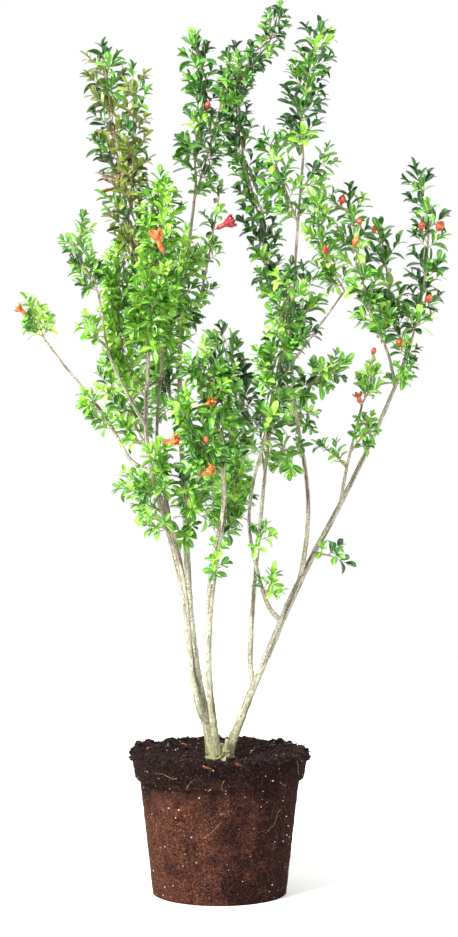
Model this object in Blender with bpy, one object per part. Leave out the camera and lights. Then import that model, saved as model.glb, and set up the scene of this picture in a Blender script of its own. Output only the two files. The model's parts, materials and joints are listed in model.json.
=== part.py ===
"""A pomegranate tree of several stems, on the bare root ball of its nursery pot.

The root ball stands on its flat underside, and the centre of that is the origin. Up is +Z, and
the side that faces the viewer is -Y. Sizes below are in millimetres, and the meshes in metres.
"""

import math
import random
from collections import namedtuple

import bmesh
import bpy
import numpy as np

MM = 0.001

# Root ball: the tapered shape of a pot with a wide lip, and a dished top
BALL_HEIGHT = 225
BALL_BASE_RADIUS = 104
BALL_BODY_RADIUS = 124
BALL_RIM_RADIUS = 137
LIP_HEIGHT = 44
LIP_STEP = 6
LIP_SLOPE = 2
RIM_ROUNDING = 7
RIM_WIDTH = 22
DISH_EDGE_DROP = 5
DISH_FOOT_RISE = 4
SOIL_DEPTH = 19
SOIL_FLAT_RADIUS = 42
BALL_SIDES = 32
RIM_LUMP = 4.5
BALL_CREASE = math.radians(40)

# Root crown: the low knuckle that all the stems rise from, cut flat at the soil
CROWN_RADIUS = 21
CROWN_HEIGHT = 25
CROWN_SIDES = 12
CROWN_STEPS = 4
CROWN_NARROWING = 0.86
CROWN_BULGE = 2.2
BIG_KNOT = 0.1
SMALL_KNOT = 0.06
STUB_PATH = [(10, -9, 218), (12, -13, 240)]
STUB_RADII = [4.2, 3.2]
STUB_SIDES = 6

# Gap between pieces that rest against each other
CLEARANCE = 0.3

# Limbs: tubes with a flare at the foot, which taper a little faster there than near the tip
LIMB_SIDES = 6
LIMB_STEP = 70
LIMB_TAPER = 0.85
LIMB_CREASE = math.radians(55)
FLARE = 0.3
FLARE_LENGTH = 24

# Twigs and leaves, made larger than life because there are fewer of them
LEAF_LENGTH = 55
LEAF_WIDTH = 26
LEAF_THICKNESS = 2.0
LEAF_WIDEST = 0.56
LEAF_THICKEST = 0.34
LEAF_VARIATION = (0.9, 1.08)
LEAF_SINK = 0.3
TIP_LEAF_SINK = 1.1
LEADER_RADIUS = 2.3
LEADER_STEP = 50
LEADER_STRAIGHT = 4
TIP_SHARE = 0.62
TWIG_RADIUS = 1.8
TWIG_TIP_RADIUS = 1.5
TWIG_SIDES = 3
TWIG_SPACING = 45
TWIG_VARIATION = (0.85, 1.1)
TWIG_TAPER = 0.3
LONG_TWIG = 36
SHORTEST_TWIG = 6
PAIR_SPACING = 39
# Bare lengths: a leader's foot and tip without side twigs, and a twig's foot and tip without pairs
LEADER_BARE_FOOT = 14
LEADER_BARE_TIP = 10
TWIG_BARE_FOOT = 6
TWIG_BARE_TIP = 8
# Mass sizes: a mass of full reach has leaves of the sizes above, and the others are scaled to theirs
FULL_REACH = 41
LEAST_SCALE = 0.7
MOST_SCALE = 1.15
GOLDEN_ANGLE = math.radians(137.5)
LEAVING_ANGLE = math.radians(56)
RISING_ANGLE = math.radians(34)
LEAF_ANGLE = math.radians(52)
LEAF_ROLL = 0.6
# What is tried in turn until it fits: shares of a leaf's size, each with a roll, and of a twig's length
LEAF_TRIES = [(1, 0), (1, 1), (1, 2), (0.8, 0), (0.65, 1)]
TWIG_TRIES = [1, 0.75, 0.5]

# Blooms: a wide one is open and a narrow one is a bud, each as rings of shares of length and width
BUD_WIDTH = 15
OPEN_RINGS = [(-0.08, 0.09), (0.3, 0.3), (0.62, 0.34), (1.0, 0.5)]
OPEN_SIDES = 6
OPEN_THROAT = 0.75
BUD_RINGS = [(-0.1, 0.13), (0.6, 0.5)]
BUD_SIDES = 5
BUD_TIP = 1.0
# The twig to a bloom leaves this far below it: a share of its length and a little more
BLOOM_DROP_SHARE = 0.6
BLOOM_DROP = 4
LEAST_BLOOM_HEIGHT = 12

# Spaces: how far a mass goes past its reach, the least lead over the next mass, as shares of reach,
# and the least way in millimetres between a twig or a leaf and a limb, and between two leaves
SPACE_LIMIT = 1.15
LEAF_LEAD = 0.03
TWIG_LEAD = 0.06
LIMB_CLEAR = 1.2
TWIG_LIMB_CLEAR = 2.2
LEAF_CLEAR = 2.2
SAMPLE_SPACING = 3.0
FINE_SPACING = 2
LEAF_FOOT = 5

SOIL_LEVEL = BALL_HEIGHT - SOIL_DEPTH
TIP = None

Limb = namedtuple("Limb", "parent height through foot_radius tip_radius")
Mass = namedtuple("Mass", "host height through reach tint")
Bloom = namedtuple("Bloom", "mass place length width")
Bones = namedtuple("Bones", "starts ends start_radii end_radii")

# Each limb leaves its parent at a height, and passes these points on the way to its tip
LIMBS = {
    "left_stem": Limb("root_crown", (-12, 2, 214), [
        (-42, 22, 391), (-53, 52, 560), (-63, 95, 845), (-38, 108, 1111)], 7.1, 2.0),
    "left_outer_stem": Limb("left_stem", 264, [
        (-36, -4, 310), (-64, -12, 503), (-110, -32, 690), (-109, -45, 850), (-123, -34, 986)], 5.6, 2.4),
    "left_inner_stem": Limb("left_outer_stem", 545, [
        (-81, -4, 600), (-94, 6, 663), (-97, 8, 727), (-89, 8, 834)], 3.6, 1.9),
    "centre_stem": Limb("root_crown", (-4, -14, 214), [
        (-17, -26, 350), (-12, -42, 470), (6, -72, 600), (3, -108, 705)], 6.0, 3.4),
    "right_stem": Limb("root_crown", (12, 2, 214), [
        (54, 12, 320), (130, 33, 490), (208, 55, 637), (272, 69, 775), (303, 67, 862)], 6.7, 2.4),
    "back_stem": Limb("right_stem", 317, [
        (48, 34, 368), (59, 95, 511), (83, 155, 732), (108, 169, 850), (94, 168, 912)], 4.0, 1.9),
    "cross_stem": Limb("right_stem", 419, [
        (72, -4, 455), (47, -42, 559), (50, -66, 630), (68, -92, 705)], 3.4, 1.9),
    "tall_stem": Limb("right_stem", 481, [
        (136, 6, 560), (135, -14, 639), (112, -41, 790), (113, -44, 930), (128, -30, 1133)], 3.6, 1.8),
    "left_bough": Limb("left_outer_stem", 723, [
        (-138, -75, 772), (-165, -110, 835), (-179, -128, 920)], 3.1, 1.7),
    "far_left_bough": Limb("left_outer_stem", 652, [
        (-140, 15, 675), (-180, 57, 740), (-250, 88, 825), (-276, 92, 859)], 3.1, 1.6),
    "right_inner_bough": Limb("back_stem", 802, [
        (143, 143, 862), (197, 120, 937)], 2.5, 1.6),
    "right_low_bough": Limb("right_stem", 605, [
        (198, 15, 660), (220, -12, 758)], 2.6, 1.6),
    "right_high_bough": Limb("right_stem", 789, [
        (267, 45, 828), (259, 36, 850)], 2.6, 1.8),
}

# Each mass grows from its limb's tip or from a height on it, past these points, to where it ends
MASSES = {
    "left_spire": Mass("left_outer_stem", TIP, [
        (-144, -18, 1058), (-161, -8, 1166), (-180, 0, 1305)], 42, "bronze"),
    "left_spire_side": Mass("left_outer_stem", 957, [
        (-139, -48, 1031), (-131, -55, 1123), (-131, -50, 1267)], 33, "bronze"),
    "left_back_spire": Mass("left_stem", TIP, [
        (-41, 112, 1167), (-25, 118, 1252), (-41, 124, 1347)], 36, "deep"),
    "top_spire": Mass("left_stem", 1082, [
        (-17, 88, 1161), (1, 76, 1232), (37, 64, 1281), (77, 58, 1322), (95, 55, 1381)], 33, "mid"),
    "centre_spire": Mass("back_stem", TIP, [
        (75, 166, 989), (65, 160, 1053), (45, 155, 1129), (29, 148, 1208), (23, 142, 1273),
        (26, 140, 1330)], 34, "deep"),
    "tall_spire": Mass("tall_stem", TIP, [
        (125, -28, 1191), (133, -24, 1248), (157, -20, 1337)], 39, "deep"),
    "tall_low": Mass("tall_stem", 1035, [
        (104, -55, 1076), (87, -70, 1119), (72, -75, 1164)], 39, "mid"),
    "tall_right": Mass("tall_stem", 1081, [(141, -45, 1110), (162, -52, 1146)], 36, "mid"),
    "olive_shoot": Mass("right_inner_bough", TIP, [
        (171, 118, 989), (157, 113, 1045), (161, 108, 1116)], 31, "lime"),
    "right_top": Mass("right_high_bough", TIP, [
        (239, 28, 894), (224, 16, 944), (211, 5, 1005), (200, 0, 1084)], 43, "mid"),
    "right_top_back": Mass("right_stem", 841, [
        (274, 92, 890), (268, 104, 957), (256, 112, 1040)], 40, "deep"),
    "right_spire": Mass("right_stem", TIP, [
        (316, 64, 911), (326, 60, 983), (329, 55, 1045), (309, 50, 1123)], 34, "deep"),
    "right_side": Mass("right_stem", 774, [(287, 38, 816), (293, 20, 856)], 31, "mid"),
    "right_low": Mass("right_low_bough", TIP, [(230, -18, 778), (236, -25, 818)], 29, "mid"),
    "right_low_front": Mass("right_low_bough", 685, [(227, -20, 719), (226, -34, 750)], 29, "mid"),
    "right_low_back": Mass("right_low_bough", 660, [(183, 22, 678), (154, 40, 697)], 29, "mid"),
    "left_fringe": Mass("left_bough", TIP, [
        (-195, -135, 951), (-212, -140, 994), (-200, -142, 1035)], 36, "mid"),
    "far_left": Mass("far_left_bough", TIP, [(-289, 92, 890), (-304, 92, 920)], 39, "mid"),
    "far_left_low": Mass("far_left_bough", 709, [(-187, 42, 747), (-214, 34, 775)], 34, "mid"),
    "left_low": Mass("left_outer_stem", 589, [(-112, -5, 611), (-150, 8, 651)], 39, "mid"),
    "left_low_back": Mass("left_outer_stem", 686, [(-141, 10, 747), (-190, 30, 806)], 46, "mid"),
    "left_outer": Mass("left_bough", 840, [(-182, -112, 858), (-200, -104, 892)], 34, "mid"),
    "left_mid": Mass("left_outer_stem", 766, [
        (-146, -30, 824), (-156, -22, 892), (-153, -18, 962), (-135, -15, 1018)], 46, "mid"),
    "left_front": Mass("left_outer_stem", 827, [
        (-108, -80, 886), (-92, -100, 973), (-87, -113, 1097)], 45, "lime"),
    "left_back": Mass("left_stem", 734, [
        (-95, 110, 814), (-112, 130, 910), (-119, 140, 1010)], 56, "mid"),
    "inner_back": Mass("left_stem", 877, [(-33, 75, 921), (-15, 60, 1001), (2, 45, 1100)], 26, "mid"),
    "inner_front": Mass("left_inner_stem", TIP, [(-71, 10, 902), (-50, -10, 1024)], 48, "lime"),
    "centre_front": Mass("centre_stem", TIP, [(-8, -130, 768), (-21, -148, 848)], 59, "mid"),
    "centre_low": Mass("centre_stem", 659, [
        (-20, -120, 683), (-40, -138, 728), (-56, -150, 783)], 51, "mid"),
    "centre_low_back": Mass("left_stem", 575, [
        (-22, 80, 623), (10, 100, 678), (29, 118, 750)], 59, "mid"),
    "centre_bottom": Mass("centre_stem", 541, [(10, -34, 584), (22, -5, 629), (29, 8, 688)], 51, "mid"),
    "centre_tuft": Mass("centre_stem", 500, [(-2, -74, 521), (-9, -94, 553)], 29, "mid"),
    "centre_column": Mass("cross_stem", TIP, [
        (78, -105, 765), (94, -115, 848), (109, -120, 965)], 51, "mid"),
    "tall_side": Mass("tall_stem", 850, [(126, -62, 890), (128, -75, 965)], 42, "mid"),
    "centre_right": Mass("tall_stem", 769, [(149, -78, 800), (191, -100, 821)], 37, "mid"),
    "centre_right_low": Mass("tall_stem", 681, [(99, -58, 689), (65, -75, 711)], 43, "mid"),
    "back_column": Mass("back_stem", 701, [(39, 178, 753), (16, 188, 815), (0, 192, 879)], 46, "deep"),
    "back_low": Mass("back_stem", 646, [(68, 158, 682), (72, 170, 750)], 42, "mid"),
    "low_tuft": Mass("cross_stem", 463, [(75, -18, 472), (86, -26, 501)], 31, "lime"),
    "right_low_twigs": Mass("right_stem", 526, [(170, 12, 524), (196, -8, 516)], 26, "deep"),
    "left_tuft": Mass("left_outer_stem", 560, [(-91, -36, 578), (-112, -48, 607)], 33, "mid"),
    "left_low_front": Mass("left_outer_stem", 612, [(-103, -62, 650), (-88, -88, 699)], 42, "lime"),
    "centre_low_front": Mass("left_stem", 550, [(-49, -12, 599), (-54, -66, 653)], 45, "mid"),
    "cross_tuft": Mass("cross_stem", 529, [(58, -52, 547), (71, -60, 574)], 31, "mid"),
    "back_mid": Mass("back_stem", 772, [(127, 190, 756), (146, 205, 720)], 36, "mid"),
}

# The centre of each bloom's mouth, its length and its width
BLOOMS = [
    Bloom("inner_back", (15, 30, 1044), 34, 23),
    Bloom("left_front", (-95, -142, 1018), 36, 21),
    Bloom("far_left", (-322, 88, 912), 20, 16),
    Bloom("left_back_spire", (-18, 80, 1233), 12, 10),
    Bloom("right_top", (191, -20, 1080), 14, 11),
    Bloom("right_top", (213, -35, 1044), 12, 9),
    Bloom("right_top", (212, -32, 1015), 15, 11),
    Bloom("right_spire", (316, 30, 1044), 15, 11),
    Bloom("right_spire", (347, 50, 1043), 16, 14),
    Bloom("right_spire", (332, 40, 930), 14, 11),
    Bloom("right_top_back", (245, 82, 1042), 13, 9),
    Bloom("olive_shoot", (166, 85, 1010), 15, 12),
    Bloom("right_side", (278, 0, 857), 13, 11),
    Bloom("right_low", (237, -45, 846), 12, 9),
    Bloom("right_low", (211, -45, 777), 17, 14),
    Bloom("centre_front", (-10, -168, 768), 18, 13),
    Bloom("centre_low", (-66, -178, 711), 25, 17),
    Bloom("centre_low", (-18, -158, 712), 11, 8),
    Bloom("centre_low", (-16, -150, 660), 22, 17),
]

COLOURS = {
    "root_ball": ("#5b3a2c", 0.95),
    "bark": ("#c3c2ae", 0.8),
    "mid": ("#6f9b3d", 0.5),
    "deep": ("#55803f", 0.5),
    "lime": ("#9cbf4b", 0.5),
    "bronze": ("#8f8b48", 0.5),
    "petals": ("#dd6a45", 0.55),
}


def clear_scene():
    for old in list(bpy.data.objects):
        bpy.data.objects.remove(old)


def linear(hex_colour):
    """A linear RGBA colour from an sRGB hex value."""
    parts = [int(hex_colour[i:i + 2], 16) / 255 for i in (1, 3, 5)]
    return [c / 12.92 if c <= 0.04045 else ((c + 0.055) / 1.055) ** 2.4 for c in parts] + [1]


def make_material(name):
    colour, roughness = COLOURS[name]
    material = bpy.data.materials.new(name)
    material.use_nodes = True
    shader = material.node_tree.nodes["Principled BSDF"]
    shader.inputs["Base Color"].default_value = linear(colour)
    shader.inputs["Roughness"].default_value = roughness
    shader.inputs["Metallic"].default_value = 0
    return material


def unit(vector):
    return vector / np.linalg.norm(vector)


def smooth_path(points, step):
    """Points about a step apart, on a smooth curve through every point that is given."""
    points = [np.array(point, float) for point in points]
    ends = [2 * points[0] - points[1], *points, 2 * points[-1] - points[-2]]
    path = []
    for a, b, c, d in zip(ends, ends[1:], ends[2:], ends[3:]):
        count = max(1, round(np.linalg.norm(c - b) / step))
        for t in np.arange(count) / count:
            bend = (2 * a - 5 * b + 4 * c - d) * t * t + (3 * b - a - 3 * c + d) * t ** 3
            path.append(b + ((c - a) * t + bend) / 2)
    path.append(points[-1])
    return np.array(path)


def point_at_height(path, height):
    """Where a path first rises to a height, and which way it runs there."""
    for a, b in zip(path, path[1:]):
        if a[2] <= height <= b[2]:
            return a + (b - a) * (height - a[2]) / (b[2] - a[2]), unit(b - a)
    raise ValueError(f"no point at height {height}")


def tube_mesh(path, radii, sides):
    """A closed tube, with rings that turn with the path and don't twist."""
    tangents = [unit(b - a) for a, b in zip(path, path[1:])]
    axes = [tangents[0], *[unit(a + b) for a, b in zip(tangents, tangents[1:])], tangents[-1]]
    across = unit(np.cross(axes[0], (0.3, 1, 0.2)))
    vertices = []
    for centre, axis, radius in zip(path, axes, radii):
        across = unit(across - axis * across.dot(axis))
        beside = np.cross(axis, across)
        for turn in np.arange(sides) * 2 * math.pi / sides:
            vertices.append(centre + radius * (across * math.cos(turn) + beside * math.sin(turn)))
    faces = [tuple(reversed(range(sides)))]
    for ring in range(len(path) - 1):
        for side in range(sides):
            a = ring * sides + side
            b = ring * sides + (side + 1) % sides
            faces.append((a, b, b + sides, a + sides))
    last = (len(path) - 1) * sides
    faces.append(tuple(range(last, last + sides)))
    return vertices, faces


def make_object(name, vertices, faces, material, collection=None):
    mesh = bpy.data.meshes.new(name)
    mesh.from_pydata([tuple(np.asarray(vertex, float) * MM) for vertex in vertices], [], faces)
    mesh.materials.append(material)
    made = bpy.data.objects.new(name, mesh)
    (collection or bpy.context.scene.collection).objects.link(made)
    return made


def apply_boolean(target, operation, other=None, collection=None):
    """Cut or join an object with another, or with a whole collection, and remove what was used."""
    boolean = target.modifiers.new(operation, "BOOLEAN")
    boolean.operation = operation
    boolean.solver = "EXACT"
    boolean.material_mode = "TRANSFER"
    if collection:
        boolean.operand_type = "COLLECTION"
        boolean.collection = collection
    else:
        boolean.object = other
    bpy.context.view_layer.update()
    evaluated = target.evaluated_get(bpy.context.evaluated_depsgraph_get())
    result = bpy.data.meshes.new_from_object(evaluated)
    target.modifiers.clear()
    target.data = result
    for used in list(collection.objects) if collection else [other]:
        bpy.data.objects.remove(used)
    if collection:
        bpy.data.collections.remove(collection)


def keep_largest_body(target):
    """Fill any hollow that joining sealed, and drop any loose scrap."""
    mesh = bmesh.new()
    mesh.from_mesh(target.data)
    mesh.verts.ensure_lookup_table()
    unseen = set(mesh.verts)
    bodies = []
    while unseen:
        waiting = [unseen.pop()]
        body = set(waiting)
        while waiting:
            for edge in waiting.pop().link_edges:
                for vertex in edge.verts:
                    if vertex in unseen:
                        unseen.remove(vertex)
                        body.add(vertex)
                        waiting.append(vertex)
        bodies.append(body)
    largest = max(bodies, key=len)
    loose = [vertex for body in bodies if body is not largest for vertex in body]
    bmesh.ops.delete(mesh, geom=loose, context="VERTS")
    mesh.to_mesh(target.data)
    mesh.free()


def segment_distances(points, starts, ends):
    """The distance from each point to each straight piece, and how far along that piece it is."""
    along = ends - starts
    offset = points[:, None, :] - starts[None, :, :]
    share = np.clip((offset * along).sum(2) / (along * along).sum(1), 0, 1)
    nearest = offset - share[:, :, None] * along
    return np.sqrt((nearest * nearest).sum(2)), share


def make_root_ball(material):
    """Turn the ball's profile round, with a rim and a top that are a little uneven."""
    dish_radius = BALL_RIM_RADIUS - RIM_WIDTH
    body_top = BALL_HEIGHT - LIP_HEIGHT
    body_middle = (BALL_BASE_RADIUS + BALL_BODY_RADIUS) / 2
    lip_foot = BALL_RIM_RADIUS - LIP_STEP
    # Each row is a radius, a height and how uneven the soil is there
    profile = [
        (BALL_BASE_RADIUS, 0, 0),
        (body_middle, body_top / 2, 0.4),
        (BALL_BODY_RADIUS, body_top - LIP_SLOPE, 0.2),
        (lip_foot, body_top, 0.2),
        (BALL_RIM_RADIUS, BALL_HEIGHT - RIM_ROUNDING, 0.6),
        (BALL_RIM_RADIUS - RIM_ROUNDING, BALL_HEIGHT, 1.0),
        (dish_radius, BALL_HEIGHT - DISH_EDGE_DROP, 1.0),
        ((dish_radius + SOIL_FLAT_RADIUS) / 2, SOIL_LEVEL + DISH_FOOT_RISE, 0.8),
        (SOIL_FLAT_RADIUS, SOIL_LEVEL, 0),
    ]
    vertices = []
    for radius, height, lumpiness in profile:
        for side in range(BALL_SIDES):
            turn = side * 2 * math.pi / BALL_SIDES
            lump = math.sin(3 * turn + 1) + 0.7 * math.sin(7 * turn + height) + 0.5 * math.sin(11 * turn)
            lump *= RIM_LUMP * lumpiness / 2
            width = radius - abs(lump) / 2
            vertices.append((width * math.cos(turn), width * math.sin(turn), height - abs(lump)))
    faces = [tuple(reversed(range(BALL_SIDES)))]
    for ring in range(len(profile) - 1):
        for side in range(BALL_SIDES):
            a = ring * BALL_SIDES + side
            b = ring * BALL_SIDES + (side + 1) % BALL_SIDES
            faces.append((a, b, b + BALL_SIDES, a + BALL_SIDES))
    last = (len(profile) - 1) * BALL_SIDES
    faces.append(tuple(range(last, last + BALL_SIDES)))
    ball = make_object("root_ball", vertices, faces, material)
    ball.data.shade_smooth()
    ball.data.set_sharp_from_angle(angle=BALL_CREASE)


def crown_shape(swell):
    """The root crown's low dome, made larger all round by a swell."""
    foot = SOIL_LEVEL + CLEARANCE
    rings = []
    for step in range(CROWN_STEPS + 1):
        rise = step / CROWN_STEPS
        bulge = math.sqrt(1 - CROWN_NARROWING * rise ** CROWN_BULGE)
        rings.append((CROWN_RADIUS * bulge + swell, foot + CROWN_HEIGHT * rise + swell * rise))
    vertices = []
    for number, (radius, height) in enumerate(rings):
        for side in range(CROWN_SIDES):
            turn = side * 2 * math.pi / CROWN_SIDES
            knot = 1 + BIG_KNOT * math.sin(3 * turn + number) + SMALL_KNOT * math.sin(5 * turn)
            vertices.append((radius * knot * math.cos(turn), radius * knot * math.sin(turn), height))
    faces = [tuple(reversed(range(CROWN_SIDES)))]
    for ring in range(CROWN_STEPS):
        for side in range(CROWN_SIDES):
            a = ring * CROWN_SIDES + side
            b = ring * CROWN_SIDES + (side + 1) % CROWN_SIDES
            faces.append((a, b, b + CROWN_SIDES))
            faces.append((a, b + CROWN_SIDES, a + CROWN_SIDES))
    last = CROWN_STEPS * CROWN_SIDES
    faces.append(tuple(range(last, last + CROWN_SIDES)))
    return vertices, faces


def make_root_crown(material):
    """The knuckle that the stems rise from, with the stub of a stem that broke off."""
    crown = make_object("root_crown", *crown_shape(0), material)
    stub = make_object("stub", *tube_mesh(np.array(STUB_PATH, float), STUB_RADII, STUB_SIDES), material)
    apply_boolean(crown, "UNION", other=stub)
    crown.data.shade_smooth()
    crown.data.set_sharp_from_angle(angle=BALL_CREASE)


def limb_path(limb, paths):
    """A limb's middle line, from the middle of its parent to its tip."""
    foot = limb.height
    if limb.parent != "root_crown":
        foot, _ = point_at_height(paths[limb.parent], limb.height)
    return smooth_path([foot, *limb.through], LIMB_STEP)


def limb_radii(limb, path):
    """The limb's radius along its path, flared at the foot."""
    gone = np.concatenate([[0], np.cumsum(np.linalg.norm(np.diff(path, axis=0), axis=1))])
    taper = limb.foot_radius + (limb.tip_radius - limb.foot_radius) * (gone / gone[-1]) ** LIMB_TAPER
    return taper * (1 + FLARE * np.exp(-gone / FLARE_LENGTH))


def swollen_limb(name, paths, radii):
    """A cutter that is a limb's own shape, with the clearance added all round."""
    swell = CLEARANCE / math.cos(math.pi / LIMB_SIDES)
    return make_object("cutter", *tube_mesh(paths[name], radii[name] + swell, LIMB_SIDES), None)


def make_limbs(material):
    """Every stem and bough, each cut clear of the limb that it rises from."""
    paths = {}
    radii = {}
    for name, limb in LIMBS.items():
        paths[name] = limb_path(limb, paths)
        radii[name] = limb_radii(limb, paths[name])
        made = make_object(name, *tube_mesh(paths[name], radii[name], LIMB_SIDES), material)
        if limb.parent == "root_crown":
            cutter = make_object("cutter", *crown_shape(CLEARANCE), None)
        else:
            cutter = swollen_limb(limb.parent, paths, radii)
        apply_boolean(made, "DIFFERENCE", other=cutter)
        keep_largest_body(made)
        made.data.shade_smooth()
        made.data.set_sharp_from_angle(angle=LIMB_CREASE)
    return paths, radii


def limb_bones(paths, radii):
    """All the limbs as straight pieces with a radius at each end."""
    starts = np.concatenate([path[:-1] for path in paths.values()])
    ends = np.concatenate([path[1:] for path in paths.values()])
    start_radii = np.concatenate([radius[:-1] for radius in radii.values()])
    end_radii = np.concatenate([radius[1:] for radius in radii.values()])
    return Bones(starts, ends, start_radii, end_radii)


def clear_of_limbs(points, limbs, gap):
    """Whether all the points are farther than the gap from every limb's bark."""
    distance, share = segment_distances(points, limbs.starts, limbs.ends)
    radius = limbs.start_radii + (limbs.end_radii - limbs.start_radii) * share
    return (distance - radius).min() > gap


def leader_path(mass, paths):
    """The middle twig of a mass, which stops a leaf short of where the mass ends."""
    host = paths[mass.host]
    if mass.height is TIP:
        outward = unit(host[-1] - host[-2])
        foot = host[-1] + outward * CLEARANCE
    else:
        foot, _ = point_at_height(host, mass.height)
    points = [foot, *mass.through]
    tip = np.array(points[-1], float)
    before = np.array(points[-2], float)
    points[-1] = tip - unit(tip - before) * mass.reach * TIP_SHARE
    path = smooth_path(points, LEADER_STEP)
    if mass.height is TIP:
        path = np.concatenate([[foot], [foot + outward * LEADER_STRAIGHT], path[1:]])
    return path


def bloom_path(bloom, leader):
    """A short twig from just below a bloom to the bloom's foot."""
    mouth = np.array(bloom.place, float)
    below = mouth - (0, 0, BLOOM_DROP_SHARE * bloom.length + BLOOM_DROP)
    fine = sample_line(leader)[round(LEAST_BLOOM_HEIGHT / SAMPLE_SPACING):]
    start = fine[np.linalg.norm(fine - below, axis=1).argmin()]
    outward = unit(mouth - start)
    return [start, mouth - outward * bloom.length]


def make_skeletons(paths):
    """For each mass its leader, its bloom twigs, and all of them as straight pieces."""
    skeletons = {}
    for name, mass in MASSES.items():
        leader = leader_path(mass, paths)
        blooms = [(bloom, bloom_path(bloom, leader)) for bloom in BLOOMS if bloom.mass == name]
        starts = list(leader[:-1]) + [path[0] for _, path in blooms]
        ends = list(leader[1:]) + [np.array(bloom.place, float) for bloom, _ in blooms]
        skeletons[name] = (leader, blooms, np.array(starts), np.array(ends))
    return skeletons


def space_shares(points, name, skeletons):
    """How far the points are from a mass's twigs, as a share of its reach."""
    _, _, starts, ends = skeletons[name]
    distance, _ = segment_distances(points, starts, ends)
    return distance.min(axis=1) / MASSES[name].reach


def in_own_space(points, name, skeletons, lead):
    """Whether all the points lie nearer to this mass, by its reach, than to any other."""
    own = space_shares(points, name, skeletons)
    if own.max() > SPACE_LIMIT:
        return False
    return all((own + lead < space_shares(points, other, skeletons)).all()
               for other in skeletons if other != name)


def sample_line(points, spacing=SAMPLE_SPACING):
    """Points close together along a line of straight pieces."""
    samples = []
    for a, b in zip(points, points[1:]):
        count = max(1, math.ceil(np.linalg.norm(b - a) / spacing))
        samples += [a + (b - a) * k / count for k in range(count)]
    return np.array(samples + [points[-1]])


def leaf_shape(foot, along, face, length, width):
    """A flat leaf of eight faces."""
    beside = unit(np.cross(face, along))
    widest = foot + along * length * LEAF_WIDEST
    thickest = foot + along * length * LEAF_THICKEST
    rise = face * LEAF_THICKNESS / 2
    vertices = [foot, widest - beside * width / 2, foot + along * length, widest + beside * width / 2,
                thickest + rise, thickest - rise]
    faces = [(0, 1, 4), (1, 2, 4), (2, 3, 4), (3, 0, 4), (1, 0, 5), (2, 1, 5), (3, 2, 5), (0, 3, 5)]
    return vertices, faces


def leaf_samples(vertices):
    """Points all over a leaf's blade, apart from its foot."""
    foot, left, tip, right = vertices[:4]
    lines = [sample_line([foot, left + (right - left) * share, tip]) for share in np.linspace(0, 1, 5)]
    samples = np.concatenate(lines)
    return samples[np.linalg.norm(samples - foot, axis=1) > LEAF_FOOT]


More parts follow.
